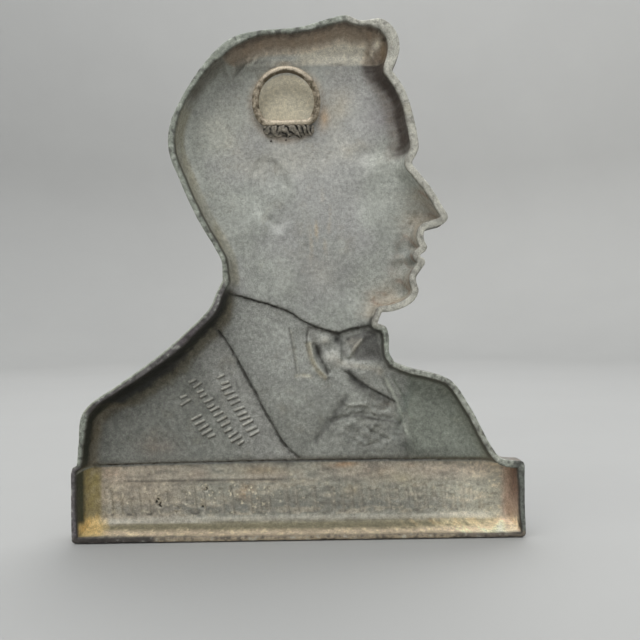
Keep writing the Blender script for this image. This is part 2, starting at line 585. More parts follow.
def core_depth(x, z, d, s, high):
    t = np.clip(s / wall_reach(x, z), 0.0, 1.0)
    wall = (1.0 - (1.0 - t) ** 2.5) ** (1 / 2.5)
    floor = ground(x, z) + layers(x, z, 1.0) + 0.75 * face(x, z, 1.0) - WALL
    # strands of the hair roll print through as faint upright ripples
    roll = ease((z - 374.0) / 5.0) * ease((64.0 - x) / 14.0)
    floor += 0.35 * roll * vnoise(x / 3.6 + 0.6 * fbm(x, z, 20, 2, 180), z / 30.0, 181)
    # rough locks under the ledge at the back of the crown
    locks = mound(x, z, 38.0, 366.0, 24.0, 8.0, -24)
    floor += 1.5 * locks * fbm(x + 0.9 * z, (z - 0.5 * x) * 0.35, 3.6, 3, 190)
    # the end of the quiff is a small faceted pocket
    floor -= 2.2 * mound(x, z, -66.5, 384.0, 4.2, 5.2, 10)
    floor += 1.1 * groove(x, z, [(-59.0, 385.0), (-62.5, 377.0), (-66.0, 369.5)], 1.6)
    floor += 1.2 * mound(x, z, -71.5, 374.0, 3.0, 6.0, 10)
    floor += 0.85 * stroke_field(x, z, BASE_STROKES, 1.5)
    floor -= 1.15 * stroke_field(x, z, SHOULDER_STROKES, 0.42)
    # sand-cast unevenness and corrosion pits of the base
    rough = 1.0 - 0.6 * ease((z - 170.0) / 30.0)
    floor += 0.24 * fbm(x, z, 15.0, 3, 200) + 0.13 * rough * fbm(x, z, 2.8, 2, 210)
    floor += 3.2 * pits(x, z)
    qx = np.maximum(np.abs(x - RING_CENTRE[0]) - 26.0, 0)
    qz = np.maximum(np.abs(z - 338.0) - 28.0, 0)
    seat = ease(1.0 - (np.hypot(qx, qz) - 7.0) / 8.0)
    level = RING_FLOOR + 0.12 + 0.10 * fbm(x, z, 3.0, 2, 210)
    floor = floor * (1.0 - seat) + level * seat
    chipped = 0.30 * (1.0 - t) * ease(t * 12.0) * fbm(x, z, 3.2, 2, 215)
    return np.minimum(floor * wall + chipped, high - THINNEST)


def pits(x, z):
    """A few small corroded clusters among the strokes of the base."""
    out = 0.0
    for px, pz, size in ((113.5, 25.0, 2.6), (110.5, 21.5, 1.8), (97.5, 17.6, 2.2), (118.0, 29.5, 1.3),
                         (74.0, 34.0, 1.6), (88.0, 30.0, 1.2), (77.0, 19.0, 1.5)):
        out = out + mound(x, z, px, pz, size, size, 0) \
            * ease((fbm(x, z, 1.7, 2, 220) + 0.02) / 0.22)
    return np.clip(out, 0.0, 1.0)


# ------------------------------------------------------------ contour lines
def contour(values, x0, z0, cell, level):
    v = values - level
    v = np.where(v == 0, 1e-9, v)
    pos = v > 0
    point, links = {}, {}

    def crossing(i, j, di, dj):
        key = (i, j, di)
        if key not in point:
            a, b = v[j, i], v[j + dj, i + di]
            t = a / (a - b)
            point[key] = (x0 + cell * (i + t * di), z0 + cell * (j + t * dj))
        return key

    sides = {1: "ws", 2: "se", 3: "we", 4: "en", 5: "wnse", 6: "sn", 7: "wn", 8: "nw",
             9: "ns", 10: "nesw", 11: "ne", 12: "ew", 13: "es", 14: "sw"}
    at = {"s": (0, 0, 1, 0), "n": (0, 1, 1, 0), "w": (0, 0, 0, 1), "e": (1, 0, 0, 1)}
    code = (pos[:-1, :-1] * 1 + pos[:-1, 1:] * 2 + pos[1:, 1:] * 4 + pos[1:, :-1] * 8)
    for j, i in zip(*np.nonzero((code > 0) & (code < 15))):
        word = sides[int(code[j, i])]
        keys = [crossing(i + at[k][0], j + at[k][1], at[k][2], at[k][3]) for k in word]
        for p, q in zip(keys[::2], keys[1::2]):
            links.setdefault(p, []).append(q)
            links.setdefault(q, []).append(p)
    loops, seen = [], set()
    for start in links:
        if start in seen:
            continue
        loop, here, last = [], start, None
        while here not in seen:
            seen.add(here)
            loop.append(point[here])
            ahead = [n for n in links[here] if n != last and n not in seen]
            last, here = here, (ahead[0] if ahead else start)
        loops.append(np.array(loop))
    length = lambda l: np.linalg.norm(l - np.roll(l, -1, axis=0), axis=1).sum()
    return sorted([l for l in loops if len(l) > 8], key=length, reverse=True)


def tidy(loop, slack, step):
    def keep(a, b):
        if b - a < 2:
            return []
        p, q = run[a], run[b]
        e = (q - p) / max(np.linalg.norm(q - p), 1e-9)
        w = run[a + 1:b] - p
        off = np.abs(e[0] * w[:, 1] - e[1] * w[:, 0])
        k = int(off.argmax())
        if off[k] < slack:
            return []
        k += a + 1
        return keep(a, k) + [k] + keep(k, b)

    run = np.vstack([loop, loop[:1]])
    half = int(np.hypot(*(loop - loop[0]).T).argmax())
    kept = [0] + keep(0, half) + [half] + keep(half, len(loop)) + [len(loop)]
    out = []
    for a, b in zip(kept, kept[1:]):
        piece = run[a:b + 1]
        at = np.concatenate([[0], np.cumsum(np.hypot(*np.diff(piece, axis=0).T))])
        n = max(1, int(math.ceil(at[-1] / step)))
        for t in np.arange(n) * at[-1] / n:
            out.append((np.interp(t, at, piece[:, 0]), np.interp(t, at, piece[:, 1])))
    out = np.array(out)
    near = np.hypot(*(np.roll(out, -1, axis=0) - out).T)
    return out[near > 0.3 * step]


def inward(loop):
    """Unit normals into the closed line, and their mitre lengths."""
    ahead = np.roll(loop, -1, axis=0) - loop
    ahead /= np.hypot(*ahead.T)[:, None]
    behind = np.roll(ahead, 1, axis=0)
    turn = behind[:, 0] * ahead[:, 1] - behind[:, 1] * ahead[:, 0]
    side = lambda e: np.column_stack([-e[:, 1], e[:, 0]])
    n = side(ahead) + side(behind)
    n /= np.maximum(np.hypot(*n.T), 1e-6)[:, None]
    mitre = 1.0 / np.maximum((n * side(ahead)).sum(axis=1), 0.4)
    return n, np.where(turn > 0, mitre, 1.0)


def offset(loop, s):
    n, mitre = inward(loop)
    points = loop + n * (mitre * s)[:, None]
    d = inside_distance(points[:, 0], points[:, 1], loop)
    return points, np.abs(d - s) < 0.08 * s + 0.03


def spread(fixed, loose, gap):
    cells = {}
    for p in fixed:
        cells.setdefault((int(p[0] // gap), int(p[1] // gap)), []).append((p[0], p[1]))
    out = []
    g2 = gap * gap
    for p in loose:
        px, pz = float(p[0]), float(p[1])
        i, j = int(px // gap), int(pz // gap)
        ok = True
        for a in (-1, 0, 1):
            for b in (-1, 0, 1):
                for q in cells.get((i + a, j + b), ()):
                    if (q[0] - px) ** 2 + (q[1] - pz) ** 2 <= g2:
                        ok = False
                        break
                if not ok:
                    break
            if not ok:
                break
        if ok:
            cells.setdefault((i, j), []).append((px, pz))
            out.append((px, pz))
    return np.array(out).reshape(-1, 2)


def triangulate(points, loops):
    edges = [(a, b) for loop in loops for a, b in zip(loop, loop[1:] + loop[:1])]
    out = delaunay_2d_cdt([Vector(p) for p in points], edges, [], 1, 1e-6, True)
    name = [o[0] for o in out[3]]
    return np.array([[name[i] for i in f] for f in out[2]])


def guide_rows(lines, offsets, step):
    """Points in rows along both sides of the cut lines, where the surface
    turns sharply."""
    out = []
    for line in lines:
        run = np.array(straight_run(line, step) + [np.array(line[-1], float)])
        ahead = np.gradient(run, axis=0)
        ahead /= np.hypot(*ahead.T)[:, None]
        side = np.column_stack([-ahead[:, 1], ahead[:, 0]])
        for k in offsets:
            aim = run + side * k
            at = aim.copy()
            for _ in range(3):
                wx, wz = warp(at[:, 0], at[:, 1])
                at += aim - np.column_stack([wx, wz])
            out.append(at)
    return spread(np.empty((0, 2)), np.vstack(out), 0.16)


def clear_of(points, fixed, gap):
    """The points with none of the fixed ones in the cells round them."""
    cell = lambda p, i, j: (np.floor(p[:, 0] / gap).astype(int) + i) * 100003 \
        + np.floor(p[:, 1] / gap).astype(int) + j
    taken = np.unique(cell(fixed, 0, 0))
    hit = np.zeros(len(points), bool)
    for i in (-1, 0, 1):
        for j in (-1, 0, 1):
            hit |= np.isin(cell(points, i, j), taken)
    return ~hit


def lattice_points(step, x0, x1, z0, z1):
    """A triangular lattice that contains the one of twice the step."""
    rows = np.arange(int((z1 - z0) / (step * 0.866)) + 1)
    cols = np.arange(int((x1 - x0) / step) + 1)
    c, r = np.meshgrid(cols, rows)
    x = x0 + step * (c + 0.5 * (r % 2))
    z = z0 + step * 0.866 * r
    return x.ravel(), z.ravel()


def near_lines(x, z, lines, reach):
    near = np.zeros(np.shape(x), bool)
    for line in lines:
        near |= np.abs(beside(x, z, line)[0]) < reach
    return near


# ------------------------------------------------------------ the casting
EDGE_STEP = 1.5
edge = outline(EDGE_STEP)
normal, _ = inward(edge)
worn = 0.30 + 0.16 * fbm(edge[:, 0], edge[:, 1], 24.0, 2, 230) \
    + 0.14 * fbm(edge[:, 0], edge[:, 1], 6.0, 2, 240)
edge = edge + normal * np.maximum(worn, 0.05)[:, None]
keep = np.hypot(*(np.roll(edge, -1, axis=0) - edge).T) > 0.5
edge = edge[keep]

CELL = 1.0
gx0, gz0 = edge.min(axis=0) - 3.0
gx1, gz1 = edge.max(axis=0) + 3.0
coarse = np.meshgrid(np.arange(gx0, gx1 + 4.0, 4.0), np.arange(gz0, gz1 + 4.0, 4.0))
coarse_d = inside_distance(coarse[0], coarse[1], edge[::3])
gx, gz = np.meshgrid(np.arange(gx0, gx1, CELL), np.arange(gz0, gz1, CELL))
u, v = (gx - gx0) / 4.0, (gz - gz0) / 4.0
i, j = u.astype(int), v.astype(int)
gd = coarse_d[np.minimum(j, coarse_d.shape[0] - 1), np.minimum(i, coarse_d.shape[1] - 1)]
band = (gd > -6.0) & (gd < 16.0)
gd[band] = inside_distance(gx[band], gz[band], edge)
inner = contour(gd - rim_width(gx, gz), gx0, gz0, CELL, 0.0)[0]
if np.sum(inner[:, 0] * np.roll(inner[:, 1], -1) - np.roll(inner[:, 0], -1) * inner[:, 1]) < 0:
    inner = inner[::-1].copy()
inner = tidy(inner, 0.07, 1.35)


def sheet(bound, ring_steps, levels, first, guides, clear):
    """Points over the inside of a closed line: rings that follow it, the
    guide rows, then nested lattices, each finer where its rule asks.  Returns
    the points, the triangles, and each point's distance inside the line."""
    rows, dist = [bound], [np.zeros(len(bound))]
    for s in ring_steps:
        ring, true = offset(bound, s)
        ring = spread(np.empty((0, 2)), ring[true], 0.45 * EDGE_STEP)
        rows.append(ring)
        dist.append(np.full(len(ring), s))
    fixed = np.vstack(rows)
    x0, z0 = bound.min(axis=0)
    x1, z1 = bound.max(axis=0)
    seen = set()
    fill = []
    for step, rule in levels:
        lx, lz = lattice_points(step, x0, x1, z0, z1)
        pick = rule(lx, lz)
        for px, pz in zip(lx[pick], lz[pick]):
            key = (round(px * 50), round(pz * 50))
            if key not in seen:
                seen.add(key)
                fill.append((px, pz))
    fill = np.array(fill)
    u = np.clip((fill[:, 0] - gx0) / CELL, 0, gd.shape[1] - 1).astype(int)
    v = np.clip((fill[:, 1] - gz0) / CELL, 0, gd.shape[0] - 1).astype(int)
    fill = fill[gd[v, u] > ring_steps[-1] - 4.0]
    fd = inside_distance(fill[:, 0], fill[:, 1], bound)
    ok = (fd > ring_steps[-1] + first) & clear_of(fill, guides, clear)
    fill, fd = fill[ok], fd[ok]
    guide_d = inside_distance(guides[:, 0], guides[:, 1], bound)
    ok = guide_d > ring_steps[-1] + 0.5
    points = np.vstack([fixed, guides[ok], fill])
    dist = np.concatenate(dist + [guide_d[ok], fd])
    tris = triangulate(points, [list(range(len(bound)))])
    mid = points[tris].mean(axis=1)
    edge_tri = (tris < len(bound)).all(axis=1)
    good = np.ones(len(tris), bool)
    good[edge_tri] = inside_distance(mid[edge_tri, 0], mid[edge_tri, 1], bound) > 0
    return points, tris[good], dist


base_line = [(x, BASE_TOP - BASE_BOW * (x / 160.0) ** 2) for x in range(160, -161, -20)]
crease_lines = [COLLAR_LINE, TIE_TOP, LAPEL_LINE, FAR_LAPEL, base_line]
back_guides = guide_rows(crease_lines, (-2.7, -1.8, -1.15, -0.7, -0.35, 0.0, 0.35, 0.75, 1.25, 1.9,
                                        2.8), 1.0)
front_guides = guide_rows(crease_lines, (-2.2, -1.1, -0.45, 0.0, 0.45, 1.1, 2.2), 1.5)


def back_mid(x, z):
    return ((x > -78) & (x < 9) & (z > 118) & (z < 166)) \
        | (near_lines(x, z, [FAR_RIDGE_LINE], 7.0)) \
        | (((x + 57) / 34) ** 2 + ((z - 83) / 24) ** 2 < 1) \
        | ((z < 37) & (z > 5)) \
        | ((x < -54) & (z > 362)) \
        | (((x - 38) / 27) ** 2 + ((z - 364) / 13) ** 2 < 1) \
        | ((z > 290) & (x < -40) & (x + 0.8 * (z - 340) < -52))


def back_fine(x, z):
    return stroke_field(x, z, SHOULDER_STROKES, 1.6) > 0.01


def front_mid(x, z):
    f, h = (BROW[0] - x) / THIRD, (z - BROW[1]) / THIRD
    return ((x > -78) & (x < 9) & (z > 118) & (z < 166)) \
        | (hair_mask(x, z) > 0.02) \
        | ((f > -0.66) & (h > -1.75) & (h < 0.2)) \
        | (((f + 1.9) / 0.36) ** 2 + ((h + 0.47) / 0.60) ** 2 < 1) \
        | (stroke_field(x, z, BASE_STROKES, 1.2) > 0.01) \
        | (((x + 57) / 32) ** 2 + ((z - 83) / 23) ** 2 < 1)


everywhere = lambda x, z: np.ones(np.shape(x), bool)
back, back_tris, back_s = sheet(
    inner, (0.06, 0.22, 0.5, 0.95, 1.6, 2.5, 3.7, 5.2, 7.0),
    [(2.08, everywhere), (1.04, back_mid), (0.52, back_fine)], 1.0, back_guides, 0.62)
front, front_tris, front_d = sheet(
    edge, (0.15, 0.55, 1.2, 2.1, 3.4, 5.2, 7.6),
    [(2.8, everywhere), (1.4, front_mid)], 1.2, front_guides, 0.9)

# the flat rim, with softened edges
rim_rows = [edge]
for s in (0.35, 0.9, 1.9, 3.1, 4.2):
    ring, true = offset(edge, s)
    ring = ring[true]
    clear = -inside_distance(ring[:, 0], ring[:, 1], inner)
    rim_rows.append(spread(np.empty((0, 2)), ring[clear > 0.8], 0.5 * EDGE_STEP))
outer_n, inner_n = len(edge), len(inner)
lip, lip_true = offset(inner, -0.4)
lip_n, _ = inward(inner)
lip = inner - lip_n * 0.4
lip = lip[inside_distance(lip[:, 0], lip[:, 1], edge) > 0.5]
lip = lip[-inside_distance(lip[:, 0], lip[:, 1], inner) > 0.3]
lip = spread(np.empty((0, 2)), lip, 0.5 * EDGE_STEP)
rim_fixed = np.vstack([edge, inner])
rim_extra = spread(np.empty((0, 2)), np.vstack(rim_rows[1:]), 0.3)
rim_extra = np.vstack([lip, spread(lip, rim_extra, 0.45)])
rim_points = np.vstack([rim_fixed, rim_extra])
rim_tris = triangulate(rim_points, [list(range(outer_n)),
                                    list(range(outer_n, outer_n + inner_n))])
mid = rim_points[rim_tris].mean(axis=1)
rim_tris = rim_tris[(inside_distance(mid[:, 0], mid[:, 1], edge) > 0)
                    & (inside_distance(mid[:, 0], mid[:, 1], inner) < 0)]
rim_d = inside_distance(rim_points[:, 0], rim_points[:, 1], edge)
rim_d[:outer_n] = 0.0
rim_i = -inside_distance(rim_points[:, 0], rim_points[:, 1], inner)
rim_i[outer_n:outer_n + inner_n] = 0.0
rim_y = -0.06 - 0.13 * (1 + fbm(rim_points[:, 0], rim_points[:, 1], 9.0, 3, 250)) \
    - 0.10 * (1 + fbm(rim_points[:, 0], rim_points[:, 1], 3.2, 2, 255)) \
    - 0.55 * np.clip(1 - rim_d / 0.9, 0, 1) ** 2 - 0.45 * np.clip(1 - rim_i / 0.7, 0, 1) ** 2
rim_y = np.minimum(rim_y, -0.02)

front_h = front_height(front[:, 0], front[:, 1], front_d)
back_d = inside_distance(back[:, 0], back[:, 1], edge)
thick_guide = plain_front(back[:, 0], back[:, 1], back_d) + \
    (layers(back[:, 0], back[:, 1], 0.0) + np.minimum(face(back[:, 0], back[:, 1], 0.0), 0.0)) \
    * ease((back_d - 0.3) / 3.0)
back_h = core_depth(back[:, 0], back[:, 1], back_d, back_s, thick_guide)
n_rim = len(rim_points)
n_in = len(inner)
back_h[:n_in] = -rim_y[outer_n:outer_n + n_in]
back_h[n_in:] = np.maximum(back_h[n_in:], 0.5)

# gather: rim points, then the rest of the hollow, the show face, the edge rows
co = [np.column_stack([rim_points[:, 0], rim_y, rim_points[:, 1]])]
tri = [rim_tris]
base_index = n_rim
back_name = np.concatenate([np.arange(outer_n, outer_n + n_in),
                            base_index + np.arange(len(back) - n_in)])
co.append(np.column_stack([back[n_in:, 0], -back_h[n_in:], back[n_in:, 1]]))
tri.append(back_name[back_tris])
base_index += len(back) - n_in
front_name = base_index + np.arange(len(front))
co.append(np.column_stack([front[:, 0], -front_h, front[:, 1]]))
tri.append(front_name[front_tris])
base_index += len(front)
edge_top = np.arange(outer_n)
edge_low = front_name[:outer_n]
rows = [edge_top]
EDGE_ROWS = (0.08, 0.28, 0.5, 0.72, 0.92)
edge_normal, _ = inward(edge)
for share in EDGE_ROWS:
    y = rim_y[:outer_n] * (1 - share) - front_h[:outer_n] * share
    push = 0.10 + 0.14 * fbm(edge[:, 0] + 37 * share, edge[:, 1] - 21 * share, 5.0, 2, 260)
    pts = edge + edge_normal * np.clip(push, 0.0, 0.3)[:, None]
    co.append(np.column_stack([pts[:, 0], y, pts[:, 1]]))
    rows.append(base_index + np.arange(outer_n))
    base_index += outer_n
rows.append(edge_low)
for a, b in zip(rows, rows[1:]):
    a2, b2 = np.roll(a, -1), np.roll(b, -1)
    tri.append(np.column_stack([a, a2, b2]))
    tri.append(np.column_stack([a, b2, b]))
co = np.vstack(co)
tri = np.vstack(tri)
kind = np.concatenate([np.zeros(n_rim), np.ones(len(back) - n_in), np.full(len(front), 2.0),
                       np.full(outer_n * len(EDGE_ROWS), 3.0)])
depth_in = np.concatenate([np.zeros(n_rim), back_s[n_in:], front_d,
                           np.zeros(outer_n * len(EDGE_ROWS))])

mesh = bpy.data.meshes.new("plaque_body")
bm = bmesh.new()
verts = [bm.verts.new(world(*p)) for p in co]
for a, b, c in tri:
    try:
        bm.faces.new((verts[a], verts[b], verts[c]))
    except ValueError:
        pass
bmesh.ops.recalc_face_normals(bm, faces=bm.faces)
if bm.calc_volume(signed=True) < 0:
    bmesh.ops.reverse_faces(bm, faces=bm.faces)
print("casting: open edges", sum(1 for e in bm.edges if not e.is_manifold),
      "triangles", len(bm.faces), "cm3", round(bm.calc_volume() * 1e6, 1))
bm.to_mesh(mesh)
bm.free()
mesh.shade_smooth()


# ------------------------------------------------------------ patina
def blend(base, colour, amount):
    amount = np.clip(amount, 0, 1)[:, None]
    return base * (1 - amount) + np.array(colour)[None, :] * amount


def tone(r, g, b, light=0.93):
    """The share of light the iron returns where it shows this colour."""
    return tuple(((c / 255.0 + 0.055) / 1.055) ** 2.4 / light for c in (r, g, b))


X, Y, Z = co[:, 0], co[:, 1], co[:, 2]
n_all = len(co)
is_back, is_rim = kind == 1, kind == 0
is_front, is_side = kind == 2, kind == 3

# Where each point lies when looked at square on from the camera: U, V on the
# rim plane in mm, across and down in the frame, and P from the inner edge.
PX = EYE[1] / 640.0
near_by = EYE[1] / (EYE[1] - Y)
U, V = EYE[0] + (X - EYE[0]) * near_by, EYE[2] + (Z - EYE[2]) * near_by
ut, vt = -(U - EYE[0]) / PX, -(V - EYE[2]) / PX
across, down = 320.0 + ut + ROLL * vt, 320.0 + vt - ROLL * ut
P = np.zeros(n_all)
P[is_back] = np.maximum(inside_distance(U[is_back], V[is_back], inner), 0.0)


def seen(a, d):
    u, v = a - 320.0, d - 320.0
    return EYE[0] - (u - ROLL * v) * PX, EYE[2] - (v + ROLL * u) * PX


def spot(a, d, wide, tall, tilt=0.0):
    cx, cz = seen(a, d)
    return mound(U, V, cx, cz, wide * PX, tall * PX, tilt)


def trace(points, width, end=3.0):
    return groove(U, V, [seen(*q) for q in points], width * PX, end * PX)


def window(value, low, high, soft):
    return ease((value - low) / soft + 0.5) * ease((high - value) / soft + 0.5)


def coat(colour, amount):
    global tint
    tint = blend(tint, colour, amount * is_back)


big = fbm(X, Z, 55.0, 3, 300)
NX, NZ = X + 0.6 * Y, Z + 0.8 * Y
mid_n = fbm(NX, NZ, 17.0, 3, 310)
fine = fbm(NX, NZ, 5.0, 3, 320)
dust = fbm(NX, NZ, 2.0, 2, 325)
WX, WZ = warp(X, Z)
tint = np.tile(np.array(tone(154, 156, 149)), (n_all, 1))
tint = blend(tint, tone(142, 140, 139), 0.55 * ease(0.4 + 1.4 * fbm(X, Z, 42.0, 2, 306)))
# jacket, lapel and chest are darker than head and neck
collar_side = beside(WX, WZ, COLLAR_LINE + TIE_TOP[1:])[0]
lapel_side = beside(WX, WZ, LAPEL_LINE)[0]
top_line = BASE_TOP - BASE_BOW * (X / 160.0) ** 2 + 0.35 * fbm(X, Z, 22.0, 2, 130)
chest = ease(collar_side / 1.4 + 0.5) * ease((Z - top_line) / 0.8 + 0.5)
jacket = chest * ease(lapel_side / 1.4 + 0.5)
coat(tone(141, 142, 136), chest)
coat(tone(128, 129, 122), 0.9 * chest * (1 - jacket) * ease((132 - Z) / 45.0))
coat(tone(139, 139, 133), jacket)
coat(tone(124, 125, 118), jacket * ease((lapel_side - 16.0) / 26.0))
coat(tone(126, 130, 120), chest * ease((-84.0 - X) / 8.0))
tint = tint * (1.0 + 0.09 * big + 0.17 * mid_n + 0.12 * fine + 0.08 * dust)[:, None]

# cheek, nape and temple: pale and tan patches, a scuff
coat(tone(134, 129, 131), 0.55 * spot(384, 112, 18, 22, 10) * (0.8 + 0.8 * mid_n))
coat(tone(138, 137, 130), 0.5 * spot(235, 95, 18, 30, 10) * (0.8 + 0.8 * mid_n))
coat(tone(172, 170, 160), 0.45 * spot(352, 150, 26, 14, 12) * (0.8 + 0.8 * mid_n))
coat(tone(166, 167, 156), 0.45 * spot(222, 160, 13, 40, -10) * (0.8 + 0.8 * mid_n))
coat(tone(168, 164, 150), 0.35 * spot(290, 160, 34, 16) * (0.8 + 0.8 * mid_n))
for cx, cz, sx, sz, tilt, amount in ((45.0, 322.0, 26.0, 18.0, 0, 0.25),
                                     (30.0, 290.0, 18.0, 12.0, 0, 0.2),
                                     (-20.0, 205.0, 30.0, 14.0, 0, 0.2)):
    coat(tone(170, 165, 148), amount * mound(X, Z, cx, cz, sx, sz, tilt) * (0.7 + 0.8 * mid_n))
scuff = mound(X, Z, -21.0, 241.0, 7.5, 19.0, 8) * ease(0.05 + 1.4 * vnoise(X / 1.7, Z / 15.0, 340))
coat(tone(196, 176, 145), 0.7 * scuff)
jaw_rust = np.exp(-(P / 12.0) ** 2) * ease((-40 - X) / 20.0) * window(Z, 168, 268, 8.0)
coat(tone(165, 146, 122), 0.6 * jaw_rust * (0.6 + 0.9 * mid_n))
coat(tone(112, 78, 56), 0.6 * jaw_rust * ease(2.0 * fine - 0.1))

# the walls, as far in from the rim as each shows
nape = window(Z, 196, 336, 12.0) * ease((X - 20) / 20.0)
coat(tone(136, 131, 112), nape * 0.75 * ease((9.5 - P) / 3.0) * (0.8 + 0.5 * mid_n))
coat(tone(70, 66, 56), nape * ease((1.9 - P) / 1.2))
crown = ease((Z - 330) / 14.0) * ease((X - 34) / 14.0) * ease((391 - Z) / 4.0)
coat(tone(92, 88, 80), crown * 0.9 * ease((11.0 - P) / 7.0) * (0.85 + 0.4 * mid_n))
shoulder = window(Z, 101, 192, 6.0) * ease((X - 44) / 8.0)
reach = 8.5 + 3.5 * ease((150 - Z) / 30.0) + 2.5 * fine
coat(tone(100, 96, 82), shoulder * ease((reach + 8.0 - P) / 7.0))
coat(tone(46, 46, 42, 0.95), shoulder * ease((reach - P) / 5.0))
left_bust = window(Z, 56, 104, 4.0) * ease((X - 128) / 8.0)
coat(tone(108, 100, 82), left_bust * ease((16.0 - P) / 6.0) * (0.8 + 0.5 * mid_n))
coat(tone(56, 57, 48, 1.02), left_bust * ease((7.5 + 1.5 * fine - P) / 3.5))
far = window(Z, 56, 134, 4.0) * ease((-74 - X) / 8.0)
coat(tone(72, 70, 62), far * 0.9 * ease((3.2 - P) / 2.2))
throat = window(Z, 128, 170, 4.0) * ease((-50 - X) / 8.0)
coat(tone(60, 58, 52), throat * 0.9 * ease((3.0 - P) / 1.8))
forehead = window(Z, 296, 369, 16.0) * ease((-44 - X) / 10.0)
lines = 0.5 + 0.5 * vnoise(X / 9.0 + 0.3 * Z / 5.0, Z / 1.5, 345)
coat(tone(112, 104, 96), forehead * 0.8 * ease((20.0 - P) / 9.0) * (0.55 + 0.6 * lines))
coat(tone(66, 57, 51, 1.02), forehead * ease((11.0 + 3.0 * mid_n - P) / 6.0) * (0.75 + 0.3 * lines))
tri = window(Z, 336, 370, 3.0) * ease((-50 - X) / 10.0)
coat(tone(62, 54, 49), tri * ease((24.0 - 0.50 * (370 - Z) + 2.0 * fine - P) / 9.0) * (0.62 + 0.5 * lines))

# the hair roll: black under the rim, rust streaks down the wall, tan, then pale
trough = ease((Z - 368.5) / 3.0) * ease((60.0 - X) / 12.0)
streak = 0.5 + 0.5 * vnoise(X / 2.4 + 0.5 * fine, Z / 30.0, 330)
streak2 = 0.5 + 0.5 * vnoise(X / 5.5, Z / 40.0, 331)
coat(tone(164, 160, 148), trough * 0.85 * ease((-4.0 - X) / 12.0 + 0.4))
coat(tone(158, 148, 132), trough * 0.8 * ease((19.0 - P) / 4.0) * (0.7 + 0.4 * streak2))
coat(tone(132, 121, 108), trough * ease((15.5 + 3.0 * streak - P) / 6.5))
coat(tone(168, 142, 118), trough * 0.3 * ease((12.5 - P) / 4.0) * ease(1.7 * streak - 0.6) * streak2)
coat(tone(78, 70, 63), trough * ease((5.4 + 2.8 * streak + 1.5 * fine - P) / 6.0))
tint = tint * (1.0 + trough * is_back * (0.15 + 0.55 * ease((P - 10.0) / 8.0)))[:, None]
coat(tone(108, 103, 95), spot(339, 64, 8, 1.6) * 0.7)
locks = spot(246, 65, 24, 6.5, -17) * ease(0.55 + 1.3 * vnoise((X + 0.9 * Z) / 2.6, (Z - 0.5 * X) / 8.0, 335))
coat(tone(88, 85, 79), 0.8 * locks)
# the pocket at the end of the quiff
coat(tone(160, 142, 118), spot(383, 52, 3.5, 9) * 0.8)
coat(tone(226, 220, 204), spot(376.5, 45, 3.6, 5.5, 20) * 0.9)
coat(tone(206, 199, 183), spot(371, 55, 2.6, 6, 20) * 0.75)
coat(tone(78, 69, 60), trace([(366, 46), (369.5, 55), (375, 64)], 1.3) * (0.45 + 0.5 * fine))
coat(tone(32, 27, 23), spot(384, 39.5, 2.3, 1.9))

# inside and around the ring
ring_r = np.hypot(X - RING_CENTRE[0], Z - RING_CENTRE[1] - 0.5)
coat(tone(167, 160, 141), ease((24.5 - ring_r) / 2.0) * ease((Z - 320.0) / 3.0)
     * (0.92 + 0.25 * mid_n))
coat(tone(150, 120, 86), 0.35 * np.exp(-((ring_r - 28.5) / 3.0) ** 2) * (0.6 + 0.9 * mid_n))
coat(tone(180, 146, 106), 0.6 * spot(324, 119, 5, 10, 10) * (0.8 + 0.6 * fine))
coat(tone(168, 156, 132), 0.45 * spot(337, 108, 13, 26, 12) * (0.6 + 0.8 * mid_n))
coat(tone(178, 160, 132), 0.6 * spot(286, 64.5, 12, 3) * (0.7 + 0.8 * fine))

tint = tint * (1.0 + is_back * (0.22 * ease((Z - 225.0) / 60.0) + 0.16 * chest * ease((60.0 - X) / 60.0)
                                + 0.22 * ease((24.5 - ring_r) / 3.0) * ease((Z - 320.0) / 3.0)))[:, None]

# cut lines, dark with dirt
worn_line = fbm(X, Z, 3.2, 3, 96)
for line, wide, power in ((COLLAR_LINE, 0.52, 0.92), (TIE_TOP, 0.65, 0.92), (LAPEL_LINE, 0.66, 0.95),
                          (FAR_LAPEL, 0.25, 0.6)):
    d, over = beside(WX, WZ, line)
    d = d + 0.5 * fbm(X, Z, 2.2, 2, 97)
    ragged = wide * (1.0 + 1.1 * worn_line)
    coat(tone(40, 38, 34), power * ease((ragged + 0.4 - np.abs(d)) / 0.8)
         * np.exp(-(over / 4.0) ** 2) * (0.9 + 0.5 * worn_line))
    coat(tone(92, 90, 84), power * 0.5 * np.exp(-(d / 2.2) ** 2) * np.exp(-(over / 5.0) ** 2))
    coat(tone(60, 58, 53), power * 0.7 * np.exp(-(d / 2.0) ** 2 - (over / 5.0) ** 2)
         * ease((fbm(X, Z, 1.6, 2, 98) - 0.12) / 0.25))
line_off = Z - top_line
coat(tone(84, 80, 70), 0.75 * np.exp(-((line_off - 1.6) / 2.2) ** 2) * window(X, -158, 160, 4.0)
     * (0.5 + 0.5 * ease((30 - X) / 50.0)))
coat(tone(46, 39, 33), ease((0.85 + 0.6 * worn_line - np.abs(line_off - 0.2 + 0.4 * dust)) / 0.8)
     * window(X, -160, 162, 3.0) * (0.9 + 0.5 * worn_line))

